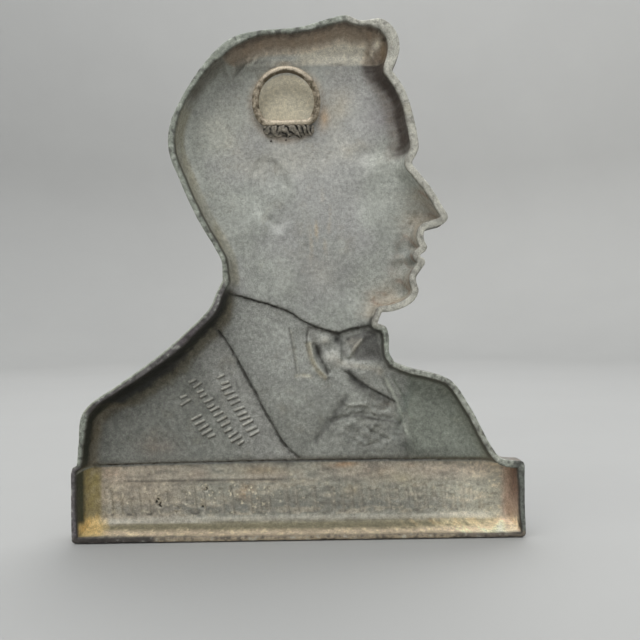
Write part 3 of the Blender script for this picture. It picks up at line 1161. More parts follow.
# the bow tie and what lies round it
rub = 0.85 + 0.5 * fbm(X, Z, 3.0, 2, 353)
coat(tone(88, 86, 80), 0.7 * rub * trace([(289.0, 328), (292.0, 345), (296.6, 373)], 0.8))
coat(tone(166, 164, 153), 0.65 * rub * trace([(290.8, 330), (293.9, 345), (298.4, 372)], 0.75))
coat(tone(158, 154, 138), 0.75 * rub * trace([(296, 376.0), (303, 375.2), (311, 376.2)], 2.1))
coat(tone(64, 61, 55), 0.85 * trace([(308.5, 327), (306.8, 336), (306.4, 346), (308, 352)], 0.82))
coat(tone(96, 94, 88), 0.6 * spot(313, 337, 5, 8))
wing_shape = np.array([seen(*q) for q in ((344, 337), (376, 326), (384, 362), (354, 362))])
near_wing = (np.abs(across - 364) < 24) & (np.abs(down - 345) < 22) & is_back
wing_in = np.zeros(n_all)
wing_in[near_wing] = inside_distance(U[near_wing], V[near_wing], wing_shape)
coat(tone(100, 99, 95), 0.85 * ease(wing_in / 2.0))
coat(tone(78, 77, 73), 0.6 * ease(wing_in / 2.0) * spot(371, 352, 7, 6))
coat(tone(160, 156, 144), 0.8 * rub * trace([(350.5, 356), (355, 348), (361, 340)], 2.0))
coat(tone(150, 147, 137), 0.5 * rub * spot(352, 342, 5, 4, 20))
coat(tone(84, 82, 78), 0.6 * spot(344, 352, 3, 5))
coat(tone(170, 167, 156), 0.8 * rub * spot(325, 340.5, 4.8, 3.8))
coat(tone(162, 160, 151), 0.8 * spot(332, 358, 8, 6.5, -10))
coat(tone(172, 169, 158), 0.9 * rub * trace([(338, 362.5), (350, 365), (366, 367.5), (381, 371)], 2.8))
coat(tone(208, 202, 186), 0.85 * rub * spot(379.5, 371, 2.6, 4.0))
coat(tone(70, 67, 61), 0.8 * rub * trace([(309, 327), (322, 331), (338, 334)], 1.7))
coat(tone(46, 44, 41), 0.95 * spot(337.5, 340, 4.6, 6.0, -25))
coat(tone(60, 57, 52), 0.85 * spot(319.5, 350.5, 4.0, 7.0, -8))
coat(tone(50, 47, 43), 0.85 * rub * trace([(316.5, 346), (318.5, 356), (323, 364), (328, 373.5)], 1.9, 1.5))
coat(tone(178, 171, 150), 0.9 * rub * trace([(308.6, 344), (311.2, 357), (316, 368), (325, 378)], 2.5, 2.5))
coat(tone(126, 126, 119), 0.7 * spot(368, 378, 12, 6, -25))
coat(tone(84, 84, 79), 0.75 * trace([(350, 376), (359, 386), (372, 394), (388, 402)], 4.6) * (0.4 + rub * 0.6))
coat(tone(58, 56, 52), 0.7 * trace([(349, 371), (356, 380), (364, 387)], 3.0))
coat(tone(46, 45, 41), 0.85 * rub * trace([(349, 371), (355, 379.5), (364, 386), (380, 393.5), (396, 401.5)], 1.5))
coat(tone(186, 190, 176), 0.8 * rub * trace([(386, 379), (398, 403), (407, 434)], 1.4))
coat(tone(140, 148, 134), 0.6 * trace([(394, 380), (403, 396), (412, 418)], 0.9))
coat(tone(100, 110, 102), 0.5 * spot(403, 408, 5, 28, 16))
ruffle = 0.5 + 0.5 * fbm(X, Z, 4.0, 3, 355)
coat(tone(84, 84, 79), 0.75 * trace([(347, 396), (334, 417), (315, 441)], 3.6) * (0.5 + ruffle))
coat(tone(74, 73, 68), 0.75 * trace([(334, 421), (347, 416.5), (360, 415.5), (376, 419), (400, 423)], 1.5)
     * (0.5 + ruffle))
coat(tone(148, 148, 138), 0.6 * trace([(349, 405.5), (358, 403), (366, 405), (376, 416)], 1.4))
coat(tone(96, 86, 72), 0.7 * spot(385, 406, 11, 5) * ease(1.6 * ruffle - 0.4))
coat(tone(132, 131, 123), 0.55 * spot(362, 436, 34, 12) * ease(2.0 * ruffle - 0.7))
coat(tone(78, 79, 74), 0.6 * spot(372, 430, 32, 15) * ease(1.4 - 2.4 * ruffle))
coat(tone(56, 58, 53), 0.8 * spot(406, 446, 8, 6, 20) * (0.5 + ruffle))
coat(tone(86, 87, 80), 0.6 * spot(425, 452, 40, 4))
coat(tone(134, 116, 102), 0.5 * spot(158, 447, 18, 10) * (0.6 + 0.8 * mid_n))

# base band: tan at the top, grey middle, pale foot, ochre and cream corners
on_base = ease((top_line - 1.2 - Z) / 1.2)
coat(tone(140, 139, 128), on_base)
coat(tone(153, 143, 128), on_base * 0.85 * ease((210.0 - across) / 60.0))
coat(tone(158, 140, 124), on_base * 0.5 * np.exp(-((Z - 47.0) / 8.0) ** 2)
     * ease(0.45 + 1.3 * fbm(X, Z, 30.0, 3, 350)))
coat(tone(116, 117, 112), on_base * 0.75 * np.exp(-((Z - 17.5) / 6.0) ** 2) * (0.85 + 0.4 * mid_n))
coat(tone(104, 106, 102), on_base * 0.5 * spot(330, 500, 60, 12) * (0.7 + 0.6 * mid_n))
coat(tone(182, 142, 104), 0.8 * on_base * spot(344, 464.5, 14, 2.8) * (0.7 + 0.8 * fine))
coat(tone(178, 168, 142), 0.7 * on_base * spot(399, 477, 22, 6, 6) * (0.7 + 0.8 * mid_n))
coat(tone(172, 158, 138), 0.7 * on_base * spot(410, 465, 10, 2.4))
coat(tone(166, 150, 120), 0.6 * on_base * spot(351, 489, 8, 6) * (0.7 + 0.8 * fine))
coat(tone(178, 148, 112), 0.6 * on_base * spot(246, 492, 9, 8) * ease(0.5 + 1.8 * fine))
coat(tone(150, 136, 108), 0.5 * on_base * spot(262, 470, 22, 4))
drag = fbm(X * 0.28, Z, 3.4, 3, 356)
coat(tone(104, 101, 93), on_base * 0.55 * ease(-0.1 - 2.2 * drag))
coat(tone(168, 160, 144), on_base * 0.55 * ease(2.2 * drag - 0.1))
cast = stroke_field(X, Z, BASE_STROKES, 1.7)
edge_of = 4.0 * cast * (1.0 - cast)
coat(tone(156, 151, 138), on_base * 0.40 * cast)
coat(tone(96, 93, 86), on_base * 0.50 * edge_of * stroke_field(X + 0.9, Z + 0.6, BASE_STROKES, 1.7))
for ax, az, bx, bz, half in BASE_STROKES[::2]:
    low = min(az, bz)
    if low < 17.0:
        wide = 3.0 + 1.2 * math.sin(ax)
        arc = np.exp(-((Z - low + 1.4 - 0.10 * (X - ax) ** 2) / 0.75) ** 2) \
            * ease((wide - np.abs(X - ax)) / 1.6)
        coat(tone(58, 55, 50), on_base * arc * (0.85 if ax > 20 else 0.55))
coat(tone(206, 198, 174), on_base * 0.8 * ease((fbm(X, Z, 1.8, 2, 360) - 0.46) / 0.12)
     * (spot(230, 492, 66, 16) + 0.30))
coat(tone(92, 86, 78), on_base * 0.5 * ease((-0.50 - fbm(X, Z, 1.8, 2, 365)) / 0.12))
coat(tone(78, 73, 66), on_base * 0.8 * np.exp(-((WZ - 40.8) / 0.8) ** 2)
     * window(X, -150, 140, 8.0) * ease((X + 20) / 50.0))
coat(tone(156, 153, 142), on_base * 0.8 * window(Z, 7.6, 11.4, 1.8) * window(X, -150, 152, 6.0))
# the foot: olive in the depth, tan dirt towards the rim
foot = ease((8.2 - Z) / 1.4) * window(X, -166, 162, 8.0)
coat(tone(108, 103, 84), foot)
coat(tone(172, 160, 130), foot * 0.8 * spot(452, 523, 46, 8) * ease(0.55 + 1.8 * fine))
coat(tone(118, 96, 66), foot * 0.6 * spot(440, 520, 34, 6) * ease((fine + dust) * 1.5))
coat(tone(170, 155, 134), foot * ease((6.4 + 1.2 * mid_n - P) / 2.6) * (0.9 + 0.3 * fine))
coat(tone(196, 182, 152), foot * 0.8 * ease((7.5 - P) / 3.0) * ease((fine + dust) * 1.6 - 0.1))
coat(tone(206, 188, 158), 0.85 * on_base * spot(508, 528, 26, 9) * (0.85 + 0.3 * fine))
# left end of the base
left_end = on_base * is_back
coat(tone(132, 121, 82), left_end * ease((104.0 - across) / 6.0) * (0.85 + 0.4 * fine))
coat(tone(184, 162, 114), left_end * ease(1.5 - np.hypot((across - 94) / 13.0, (down - 528) / 13.0)
                                         + 0.5 * fine) * 0.92)
coat(tone(58, 60, 48, 1.02), left_end * ease((86.5 - across + 0.02 * (down - 500)) / 4.0)
     * ease((528 - down) / 8.0))
coat(tone(216, 206, 176), left_end * 0.8 * spot(103, 522, 4, 2) * ease(0.6 + 2 * fine))
# right end
coat(tone(144, 126, 113), on_base * ease((across - 498.0) / 9.0) * ease((526 - down) / 16.0))
coat(tone(108, 88, 77), on_base * ease((across - 507.0) / 7.0) * ease((512 - down) / 26.0))
coat(tone(204, 186, 164), on_base * ease((across - 494.0) / 8.0) * ease((down - 512) / 14.0) * 0.9)
coat(tone(26, 22, 20), on_base * ease((across - 517.5) / 1.5) * ease((532 - down) / 8.0))

tint = tint * (1.0 + on_base * is_back * (0.22 + 0.30 * ease((across - 400.0) / 90.0)
                                          + 0.50 * ease((across - 410.0) / 70.0)
                                          * ease((508.0 - across) / 10.0)
                                          + 0.32 * ease((180.0 - across) / 80.0)))[:, None]

# raised strokes of the shoulder catch the light, with dirt beside them
row = stroke_field(X, Z, SHOULDER_STROKES, 0.45)
halo = stroke_field(X + 0.7, Z + 0.9, SHOULDER_STROKES, 0.7)
coat(tone(64, 62, 57), 0.85 * halo * (1 - row))
coat(tone(172, 170, 160), 0.8 * row * (0.9 + 0.6 * fine))
# corrosion pits
pit = pits(X, Z)
coat(tone(206, 198, 176), 0.7 * ease(pit / 0.15) * (1 - ease(pit / 0.4)))
coat(tone(20, 17, 15), ease((pit - 0.25) / 0.3))

# rim, outer edge and show face
rd, ri = np.full(n_all, 9.0), np.full(n_all, 9.0)
rd[:n_rim], ri[:n_rim] = rim_d, rim_i
speck = fbm(X, Z, 2.6, 2, 370)


def paint_rim(colour, amount):
    global rim_tint
    rim_tint = blend(rim_tint, colour, amount)


rim_tint = np.tile(np.array(tone(126, 130, 120)), (n_all, 1))
pale_rim = ease((-38 - X) / 10.0) * ease((Z - 158) / 8.0)
paint_rim(tone(160, 158, 148), pale_rim)
paint_rim(tone(140, 142, 132), ease((-70 - X) / 8.0) * window(Z, 56, 136, 6.0))
near_rim = window(Z, 98, 200, 8.0) * ease((X - 50) / 4.0)
paint_rim(tone(92, 89, 88), near_rim)
paint_rim(tone(74, 66, 70), near_rim * 0.8 * mound(X, Z, 84.0, 159.0, 16.0, 14.0))
base_left = ease((X - 160) / 4.0) * ease((60 - Z) / 4.0)
paint_rim(tone(94, 89, 90), base_left)
base_right = ease((-164 - X) / 3.0) * ease((60 - Z) / 4.0)
paint_rim(tone(98, 101, 94), base_right)
bottom = ease((5.5 - Z) / 1.5)
paint_rim(tone(146, 134, 114), bottom)
paint_rim(tone(66, 61, 57), bottom * ease((X - 100 + 10 * mid_n) / 10.0))
paint_rim(tone(92, 86, 78), bottom * 0.8 * ease((-118 - X) / 10.0))
rim_tint = rim_tint * (1.14 + 0.12 * mid_n + 0.20 * speck + 0.12 * dust)[:, None]
paint_rim(tone(60, 57, 54), 0.65 * ease((-speck - 0.20) / 0.2) * (1 - pale_rim * 0.6))
paint_rim(tone(186, 188, 178), 0.45 * ease((speck - 0.34) / 0.18) * (1 - 0.7 * pale_rim))
paint_rim(tone(160, 166, 150), 0.75 * near_rim * ease((1.5 - rd) / 0.8))
paint_rim(tone(38, 36, 35), (0.85 * near_rim + 0.9 * base_right + 0.8 * base_left)
          * ease((1.3 - ri) / 0.9))
paint_rim(tone(72, 68, 60), 0.55 * ease((0.9 - ri) / 0.8))
tint = np.where(is_rim[:, None], rim_tint, tint)
high = np.zeros(n_all)
f_mask = is_front
high[f_mask] = layers(X[f_mask], Z[f_mask], 0.0) + face(X[f_mask], Z[f_mask], 0.0) \
    + 0.9 * stroke_field(X[f_mask], Z[f_mask], BASE_STROKES, 0.9)
soft_high = np.clip(high / 4.0, -1.0, 1.0)
show = np.tile(np.array((0.185, 0.178, 0.158)), (n_all, 1)) \
    * (1.0 + 0.16 * big + 0.14 * mid_n + 0.08 * fine + 0.45 * soft_high)[:, None]
show = blend(show, (0.150, 0.098, 0.058), 0.5 * ease(0.1 + 1.5 * fbm(X, Z, 26.0, 3, 380))
             * (1.0 - 0.6 * ease(high / 3.0)))
show = blend(show, (0.29, 0.275, 0.245), 0.55 * ease(high / 3.5 + 0.3 * fine))
tint = np.where(is_front[:, None], show, tint)
side_tint = np.tile(np.array((0.185, 0.178, 0.158)), (n_all, 1)) \
    * (1.0 + 0.14 * mid_n + 0.16 * speck)[:, None]
side_tint = blend(side_tint, (0.16, 0.105, 0.062), 0.35 * ease(0.2 + 1.5 * fine))
tint = np.where(is_side[:, None], side_tint, tint)
tint = np.clip(tint, 0.006, 0.9)
grit = np.where(is_rim, 1.0, np.where(is_back, 0.80 + 0.20 * chest + 0.16 * on_base
                                      + 0.3 * ease((5.0 - P) / 3.0), 0.6))
grit = np.clip(grit, 0.0, 1.0)

mesh_tint = mesh.attributes.new("tint", "FLOAT_COLOR", "POINT")
mesh_tint.data.foreach_set("color", np.column_stack([tint, np.ones(n_all)]).astype(np.float32).ravel())
mesh_grit = mesh.attributes.new("grit", "FLOAT", "POINT")
mesh_grit.data.foreach_set("value", grit.astype(np.float32))


# ------------------------------------------------------------ materials
def new_material(name):
    mat = bpy.data.materials.new(name)
    mat.use_nodes = True
    nt = mat.node_tree
    shader = nt.nodes["Principled BSDF"]
    return mat, nt, shader


def node(nt, kind_name, **inputs):
    n = nt.nodes.new(kind_name)
    for key, value in inputs.items():
        if key in n.inputs:
            n.inputs[key].default_value = value
        else:
            setattr(n, key, value)
    return n


def iron_material():
    """Old cast iron: the painted patina, broken up by sandy mottling and
    grain that are stronger on the rough parts, with a little rust."""
    mat, nt, shader = new_material("cast_iron_patina")
    link = nt.links.new
    coord = node(nt, "ShaderNodeTexCoord")
    attr = node(nt, "ShaderNodeAttribute", attribute_name="tint")
    grit_attr = node(nt, "ShaderNodeAttribute", attribute_name="grit")
    mottling = node(nt, "ShaderNodeTexNoise", Scale=330.0, Detail=4.0, Roughness=0.6)
    grain = node(nt, "ShaderNodeTexNoise", Scale=1250.0, Detail=3.0, Roughness=0.6)
    blotch = node(nt, "ShaderNodeTexNoise", Scale=60.0, Detail=6.0, Roughness=0.62)
    for n in (mottling, grain, blotch):
        link(coord.outputs["Object"], n.inputs["Vector"])

    def swing(source, low, high):
        """1 plus or minus a share of the noise, scaled by the grit."""
        spread_n = node(nt, "ShaderNodeMapRange")
        spread_n.inputs["From Min"].default_value = 0.3
        spread_n.inputs["From Max"].default_value = 0.7
        spread_n.inputs["To Min"].default_value = low
        spread_n.inputs["To Max"].default_value = high
        link(source.outputs["Fac"], spread_n.inputs["Value"])
        scaled = node(nt, "ShaderNodeMath", operation="MULTIPLY_ADD")
        link(spread_n.outputs["Result"], scaled.inputs[0])
        link(grit_attr.outputs["Fac"], scaled.inputs[1])
        scaled.inputs[2].default_value = 1.0
        return scaled

    a, b = swing(mottling, -0.28, 0.28), swing(grain, -0.30, 0.30)
    both = node(nt, "ShaderNodeMath", operation="MULTIPLY")
    link(a.outputs["Value"], both.inputs[0])
    link(b.outputs["Value"], both.inputs[1])
    dark = node(nt, "ShaderNodeMix", data_type="RGBA", blend_type="MULTIPLY")
    dark.inputs["Factor"].default_value = 1.0
    link(attr.outputs["Color"], dark.inputs["A"])
    link(both.outputs["Value"], dark.inputs["B"])
    # thin rust bloom in the blotches
    bloom = node(nt, "ShaderNodeMapRange")
    bloom.inputs["From Min"].default_value = 0.56
    bloom.inputs["From Max"].default_value = 0.74
    bloom.inputs["To Min"].default_value = 0.0
    bloom.inputs["To Max"].default_value = 0.22
    link(blotch.outputs["Fac"], bloom.inputs["Value"])
    rusty = node(nt, "ShaderNodeMix", data_type="RGBA", blend_type="MULTIPLY")
    rusty.inputs["B"].default_value = (1.0, 0.86, 0.68, 1.0)
    link(bloom.outputs["Result"], rusty.inputs["Factor"])
    link(dark.outputs["Result"], rusty.inputs["A"])
    link(rusty.outputs["Result"], shader.inputs["Base Color"])
    shader.inputs["Metallic"].default_value = 0.25
    rough = node(nt, "ShaderNodeMapRange")
    rough.inputs["From Min"].default_value = 0.3
    rough.inputs["From Max"].default_value = 0.7
    rough.inputs["To Min"].default_value = 0.56
    rough.inputs["To Max"].default_value = 0.76
    link(blotch.outputs["Fac"], rough.inputs["Value"])
    link(rough.outputs["Result"], shader.inputs["Roughness"])
    bump = node(nt, "ShaderNodeBump")
    bump.inputs["Strength"].default_value = 0.5
    bump.inputs["Distance"].default_value = 0.0005
    height = node(nt, "ShaderNodeMath", operation="MULTIPLY_ADD")
    height.inputs[1].default_value = 0.55
    link(grain.outputs["Fac"], height.inputs[0])
    link(mottling.outputs["Fac"], height.inputs[2])
    scaled_height = node(nt, "ShaderNodeMath", operation="MULTIPLY")
    link(height.outputs["Value"], scaled_height.inputs[0])
    link(grit_attr.outputs["Fac"], scaled_height.inputs[1])
    link(scaled_height.outputs["Value"], bump.inputs["Height"])
    link(bump.outputs["Normal"], shader.inputs["Normal"])
    return mat


def rusty_steel(name, clean, rust, scale, low, high, rough_low, rough_high, metallic, bump_mm):
    mat, nt, shader = new_material(name)
    link = nt.links.new
    coord = node(nt, "ShaderNodeTexCoord")
    attr = node(nt, "ShaderNodeAttribute", attribute_name="under")
    spots = node(nt, "ShaderNodeTexNoise", Scale=scale, Detail=6.0, Roughness=0.65)
    fine_n = node(nt, "ShaderNodeTexNoise", Scale=1400.0, Detail=3.0, Roughness=0.6)
    link(coord.outputs["Object"], spots.inputs["Vector"])
    link(coord.outputs["Object"], fine_n.inputs["Vector"])
    add = node(nt, "ShaderNodeMath", operation="ADD")
    link(spots.outputs["Fac"], add.inputs[0])
    link(attr.outputs["Fac"], add.inputs[1])
    mask = node(nt, "ShaderNodeMapRange")
    mask.inputs["From Min"].default_value = low
    mask.inputs["From Max"].default_value = high
    link(add.outputs["Value"], mask.inputs["Value"])
    colour = node(nt, "ShaderNodeMix", data_type="RGBA")
    colour.inputs["A"].default_value = (*clean, 1.0)
    colour.inputs["B"].default_value = (*rust, 1.0)
    link(mask.outputs["Result"], colour.inputs["Factor"])
    grain_mix = node(nt, "ShaderNodeMix", data_type="RGBA", blend_type="MULTIPLY")
    grain_mix.inputs["Factor"].default_value = 1.0
    g = node(nt, "ShaderNodeMapRange")
    g.inputs["From Min"].default_value = 0.3
    g.inputs["From Max"].default_value = 0.7
    g.inputs["To Min"].default_value = 0.7
    g.inputs["To Max"].default_value = 1.3
    link(fine_n.outputs["Fac"], g.inputs["Value"])
    link(colour.outputs["Result"], grain_mix.inputs["A"])
    link(g.outputs["Result"], grain_mix.inputs["B"])
    link(grain_mix.outputs["Result"], shader.inputs["Base Color"])
    rough = node(nt, "ShaderNodeMapRange")
    rough.inputs["To Min"].default_value = rough_low
    rough.inputs["To Max"].default_value = rough_high
    link(mask.outputs["Result"], rough.inputs["Value"])
    link(rough.outputs["Result"], shader.inputs["Roughness"])
    shader.inputs["Metallic"].default_value = metallic
    bump = node(nt, "ShaderNodeBump")
    bump.inputs["Strength"].default_value = 0.6
    bump.inputs["Distance"].default_value = bump_mm * MM
    link(fine_n.outputs["Fac"], bump.inputs["Height"])
    link(bump.outputs["Normal"], shader.inputs["Normal"])
    return mat


mesh.materials.append(iron_material())
plaque = bpy.data.objects.new("plaque_body", mesh)
bpy.context.scene.collection.objects.link(plaque)
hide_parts("plaque_casting")
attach(plaque, "root")


# ------------------------------------------------------------ the ring
def ring_path(count):
    drop = RING_CENTRE[1] - RING_BAR_Z
    reach = RING_RADIUS - RING_CORNER
    cx = math.sqrt(reach ** 2 - (drop - RING_CORNER) ** 2)
    corner = math.atan2(-(drop - RING_CORNER), cx)
    path = []
    for i in range(count):
        t = corner + (math.pi - 2 * corner) * i / count
        path.append((RING_RADIUS * math.cos(t), drop + RING_RADIUS * math.sin(t)))
    small = count // 6
    for i in range(small):
        t = math.pi - corner + (math.pi / 2 + corner) * i / small
        path.append((-cx + RING_CORNER * math.cos(t), RING_CORNER + RING_CORNER * math.sin(t)))
    flat = count // 5
    for i in range(flat):
        path.append((-cx + 2 * cx * i / flat, 0.0))
    for i in range(small):
        t = -math.pi / 2 + (math.pi / 2 + corner) * i / small
        path.append((cx + RING_CORNER * math.cos(t), RING_CORNER + RING_CORNER * math.sin(t)))
    return np.array(path)


def ring_mesh():
    path = ring_path(130)
    sides = 28
    ahead = np.roll(path, -1, axis=0) - np.roll(path, 1, axis=0)
    ahead /= np.hypot(*ahead.T)[:, None]
    out = np.column_stack([ahead[:, 1], -ahead[:, 0]])
    arc = np.concatenate([[0], np.cumsum(np.hypot(*np.diff(path, axis=0).T))])
    turns = arc[-1]
    tilt = math.radians(RING_TILT)
    pts, under = [], []
    for k in range(len(path)):
        for m in range(sides):
            phi = 2 * math.pi * m / sides
            s = 2 * math.pi * arc[k] / turns
            # worn, slightly uneven wire
            r = RING_WIRE / 2 * 0.985 - 0.10 * (1 + vnoise(
                np.array(40 + 6 * math.cos(s) + 1.5 * math.cos(phi)),
                np.array(40 + 6 * math.sin(s) + 1.5 * math.sin(phi)), 400)) \
                - 0.05 * (1 + vnoise(np.array(arc[k] / 1.6), np.array(m / 3.0), 401))
            a, b = r * math.cos(phi), r * math.sin(phi)
            px, pz = path[k, 0] + out[k, 0] * a, path[k, 1] + out[k, 1] * a
            py = b
            nx, nz, ny = out[k, 0] * math.cos(phi), out[k, 1] * math.cos(phi), math.sin(phi)
            y = py * math.cos(tilt) + pz * math.sin(tilt)
            z = -py * math.sin(tilt) + pz * math.cos(tilt)
            pts.append((RING_CENTRE[0] + px, BAR_Y + y, RING_BAR_Z + z))
            # rusty at the sides and inside the top; the bar and the top's
            # outer half are worn pale
            flank = min(1.0, max(0.0, (abs(px) / RING_RADIUS - 0.50) / 0.32))
            top = min(1.0, max(0.0, (pz - 27.0) / 8.0))
            within = max(0.0, -math.cos(phi))
            under.append(0.21 * flank * (1.0 - 0.35 * max(0.0, math.cos(phi)))
                         + 0.34 * top * min(1.0, 2.2 * within) + 0.14 * max(0.0, -ny) - 0.06)
    me = bpy.data.meshes.new("ring")
    faces = []
    n = len(path)
    for k in range(n):
        for m in range(sides):
            a, b = k * sides + m, k * sides + (m + 1) % sides
            c, d = ((k + 1) % n) * sides + (m + 1) % sides, ((k + 1) % n) * sides + m
            faces.append((a, b, c, d))
    me.from_pydata([world(*p) for p in pts], [], faces)
    b2 = bmesh.new()
    b2.from_mesh(me)
    bmesh.ops.recalc_face_normals(b2, faces=b2.faces)
    if b2.calc_volume(signed=True) < 0:
        bmesh.ops.reverse_faces(b2, faces=b2.faces)
    b2.to_mesh(me)
    b2.free()
    me.shade_smooth()
    at = me.attributes.new("under", "FLOAT", "POINT")
    at.data.foreach_set("value", np.array(under, np.float32))
    return me


ring_me = ring_mesh()
ring_me.materials.append(rusty_steel("ring_steel_worn", tone(196, 183, 162), tone(94, 84, 67),
                                     260.0, 0.46, 0.74, 0.45, 0.75, 0.3, 0.25))
ring_piece = bpy.data.objects.new("hanging_ring_wire", ring_me)
bpy.context.scene.collection.objects.link(ring_piece)
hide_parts("hanging_ring")
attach(ring_piece, "root")


# ------------------------------------------------------------ the weld
def weld_mesh():
    sections, rows = 240, []
    floor = -RING_FLOOR + GAP - 0.12
    clear = RING_WIRE / 2 + 0.28
    under = []
    for i in range(sections + 1):
        t = i / sections
        x = BEAD_CENTRE_X + (BEAD_LENGTH - 0.6) * (t - 0.5)
        end = math.sqrt(max(0.0, 1.0 - abs(2.0 * t - 1.0) ** 5)) * 0.66 + 0.34
        # overlapping ripples laid down one after another
        lump = 1.0 + 0.09 * math.sin(9.1 * t * math.pi) + 0.08 * math.sin(23.0 * t + 1.0)
        out = 7.8 * end * lump
        tall = 6.1 * end * (0.92 + 0.08 * math.sin(14.0 * t * math.pi + 0.7))
        inner_z = RING_BAR_Z - clear * 0.66
        ring, shade = [(inner_z - out, floor)], [0.1]
        count = 22
        for k in range(1, count + 1):
            a = k / count * 0.95
            down = (1.0 - a) * out
            # worm-like ridges that lean to the right as they come down, and
            # wander and split
            bend = float(vnoise(np.array(x / 5.0), np.array(down / 3.2), 411)) \
                + 0.6 * float(vnoise(np.array(x / 2.1 + 7.0), np.array(down / 1.9), 413))
            turn = 1.2 * math.cos((x - BEAD_CENTRE_X) / 9.0 + 0.6)
            phase = (x + turn * down + 2.1 * bend) / 5.2 * 2.0 * math.pi
            size = 0.80 + 0.55 * float(vnoise(np.array(x / 3.4), np.array(down / 2.2 + 9.0), 412))
            worm = abs(math.sin(phase * 0.5)) ** 0.7 * 2.0 - 1.15
            rag = float(vnoise(np.array(x / 1.1), np.array(down / 0.9 + 3.0), 410))
            rr = 1.0 + 0.17 * size * worm + 0.07 * rag
            rr = rr if k < count else 1.0
            ring.append((inner_z - out * rr * math.cos(a * math.pi / 2),
                         floor + tall * rr * math.sin(a * math.pi / 2)))
            shade.append(max(0.0, min(1.0, 0.5 + 0.6 * worm * size + 0.3 * rag)))
        top = ring[-1]
        ring[-1] = (top[0], min(top[1], floor + tall))
        lip_a = math.asin(max(-0.2, min(0.88, (floor + tall - 0.7 - BAR_Y) / clear)))
        low = math.radians(-48)
        for k in (0.0, 0.33, 0.67, 1.0):
            p = lip_a + (low - lip_a) * k
            ring.append((RING_BAR_Z - clear * math.cos(p), BAR_Y + clear * math.sin(p)))
            shade.append(0.0)
        ring.append((inner_z, floor))
        shade.append(0.0)
        rows.append([(x, y, z) for z, y in ring])
        under += shade
    b2 = bmesh.new()
    layer = b2.verts.layers.float.new("under")
    vs = [[b2.verts.new(world(*p)) for p in row] for row in rows]
    for v, value in zip(b2.verts, under):
        v[layer] = 0.62 * value
    for a, b in zip(vs, vs[1:]):
        for k in range(len(a)):
            n = (k + 1) % len(a)
            b2.faces.new((a[k], a[n], b[n], b[k]))
    b2.faces.new(vs[0])
    b2.faces.new(vs[-1][::-1])
    # two droplets of spatter stuck to the plate under the bead
    for px, pz, size in ((17.3, 310.3, 0.85), (5.3, 311.0, 0.65)):
        made = bmesh.ops.create_uvsphere(b2, u_segments=16, v_segments=10, radius=size * MM)
        wx, wy, wz = world(px, floor + 0.25 * size - 0.25, pz)
        bmesh.ops.translate(b2, verts=made["verts"], vec=(wx, wy, wz))
    bmesh.ops.recalc_face_normals(b2, faces=b2.faces)
    me = bpy.data.meshes.new("weld")
    b2.to_mesh(me)
    b2.free()
    me.shade_smooth()
    me.set_sharp_from_angle(angle=math.radians(60))
    return me


weld_me = weld_mesh()
weld_me.materials.append(rusty_steel("weld_metal_dark", tone(48, 46, 42), tone(150, 143, 130),
                                     420.0, 0.62, 1.10, 0.6, 0.8, 0.2, 0.4))
weld_piece = bpy.data.objects.new("weld_run", weld_me)
bpy.context.scene.collection.objects.link(weld_piece)
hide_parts("weld_bead")
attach(weld_piece, "root")


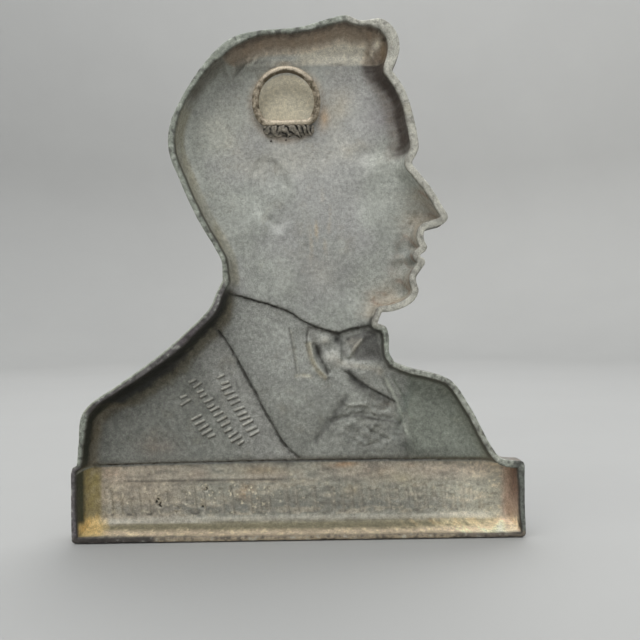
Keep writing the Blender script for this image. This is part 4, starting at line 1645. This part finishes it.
# ------------------------------------------------------------ stage
def floor_stage():
    """A round pale floor that curves up into a low wall all round."""
    foot = -ORIGIN[2] * MM - 0.0006
    radius, bend, tall, segments = 3.2, 1.0, 2.2, 96
    profile = [(0.0, 0.0), (0.3, 0.0), (0.8, 0.0), (1.5, 0.0), (radius - bend, 0.0)]
    for k in range(1, 13):
        a = k / 12 * math.pi / 2
        profile.append((radius - bend + bend * math.sin(a), bend - bend * math.cos(a)))
    profile.append((radius, tall))
    b2 = bmesh.new()
    centre = b2.verts.new((0, 0, foot))
    rings = []
    for r, h in profile[1:]:
        rings.append([b2.verts.new((r * math.cos(2 * math.pi * k / segments),
                                    r * math.sin(2 * math.pi * k / segments), foot + h))
                      for k in range(segments)])
    for k in range(segments):
        b2.faces.new((centre, rings[0][k], rings[0][(k + 1) % segments]))
    for a, b in zip(rings, rings[1:]):
        for k in range(segments):
            n = (k + 1) % segments
            b2.faces.new((a[k], b[k], b[n], a[n]))
    me = bpy.data.meshes.new("studio_floor")
    b2.to_mesh(me)
    b2.free()
    me.shade_smooth()
    mat, nt, shader = new_material("pale_floor")
    coord = node(nt, "ShaderNodeTexCoord")
    n1 = node(nt, "ShaderNodeTexNoise", Scale=3.0, Detail=5.0, Roughness=0.6)
    nt.links.new(coord.outputs["Object"], n1.inputs["Vector"])
    ramp = node(nt, "ShaderNodeMix", data_type="RGBA")
    ramp.inputs["A"].default_value = (0.315, 0.313, 0.302, 1)
    ramp.inputs["B"].default_value = (0.345, 0.343, 0.331, 1)
    nt.links.new(n1.outputs["Fac"], ramp.inputs["Factor"])
    nt.links.new(ramp.outputs["Result"], shader.inputs["Base Color"])
    shader.inputs["Roughness"].default_value = 0.75
    me.materials.append(mat)
    ob = bpy.data.objects.new("studio_floor", me)
    bpy.context.scene.collection.objects.link(ob)


floor_stage()


def studio_light(name, towards, spread_deg, power, colour):
    """A broad even light from far off, shining along towards."""
    data = bpy.data.lights.new(name, "SUN")
    data.angle = math.radians(spread_deg)
    data.energy = power
    data.color = colour
    ob = bpy.data.objects.new(name, data)
    ob.rotation_euler = Vector(towards).to_track_quat("-Z", "Y").to_euler()
    bpy.context.scene.collection.objects.link(ob)


# the key comes over the viewer's left shoulder, a softer one lights the front
studio_light("key", (-0.50, -1.0, -0.80), 85.0, 2.2, (1.0, 0.99, 0.965))
studio_light("fill_front", (0.45, 1.0, -0.85), 70.0, 2.0, (1.0, 0.99, 0.97))

world_data = bpy.data.worlds.new("studio_air")
bpy.context.scene.world = world_data
world_data.use_nodes = True
background = world_data.node_tree.nodes["Background"]
background.inputs["Color"].default_value = (0.93, 0.96, 1.0, 1.0)
background.inputs["Strength"].default_value = 1.45

# ------------------------------------------------------------ camera
# The photograph looks square on to the open back from 486 mm, rolled slightly.
cam_data = bpy.data.cameras.new("photo_camera")
cam_data.sensor_width = 36.0
cam_data.lens = 36.0
cam_data.clip_start = 0.01
cam_data.clip_end = 50.0
camera = bpy.data.objects.new("photo_camera", cam_data)
camera.location = world(*EYE)
look = Matrix.Rotation(math.radians(180), 4, "Z") @ Matrix.Rotation(math.radians(90), 4, "X")
camera.rotation_euler = (look @ Matrix.Rotation(math.radians(-0.884), 4, "Z")).to_euler()
bpy.context.scene.collection.objects.link(camera)
bpy.context.scene.camera = camera
bpy.context.scene.view_settings.view_transform = "Standard"
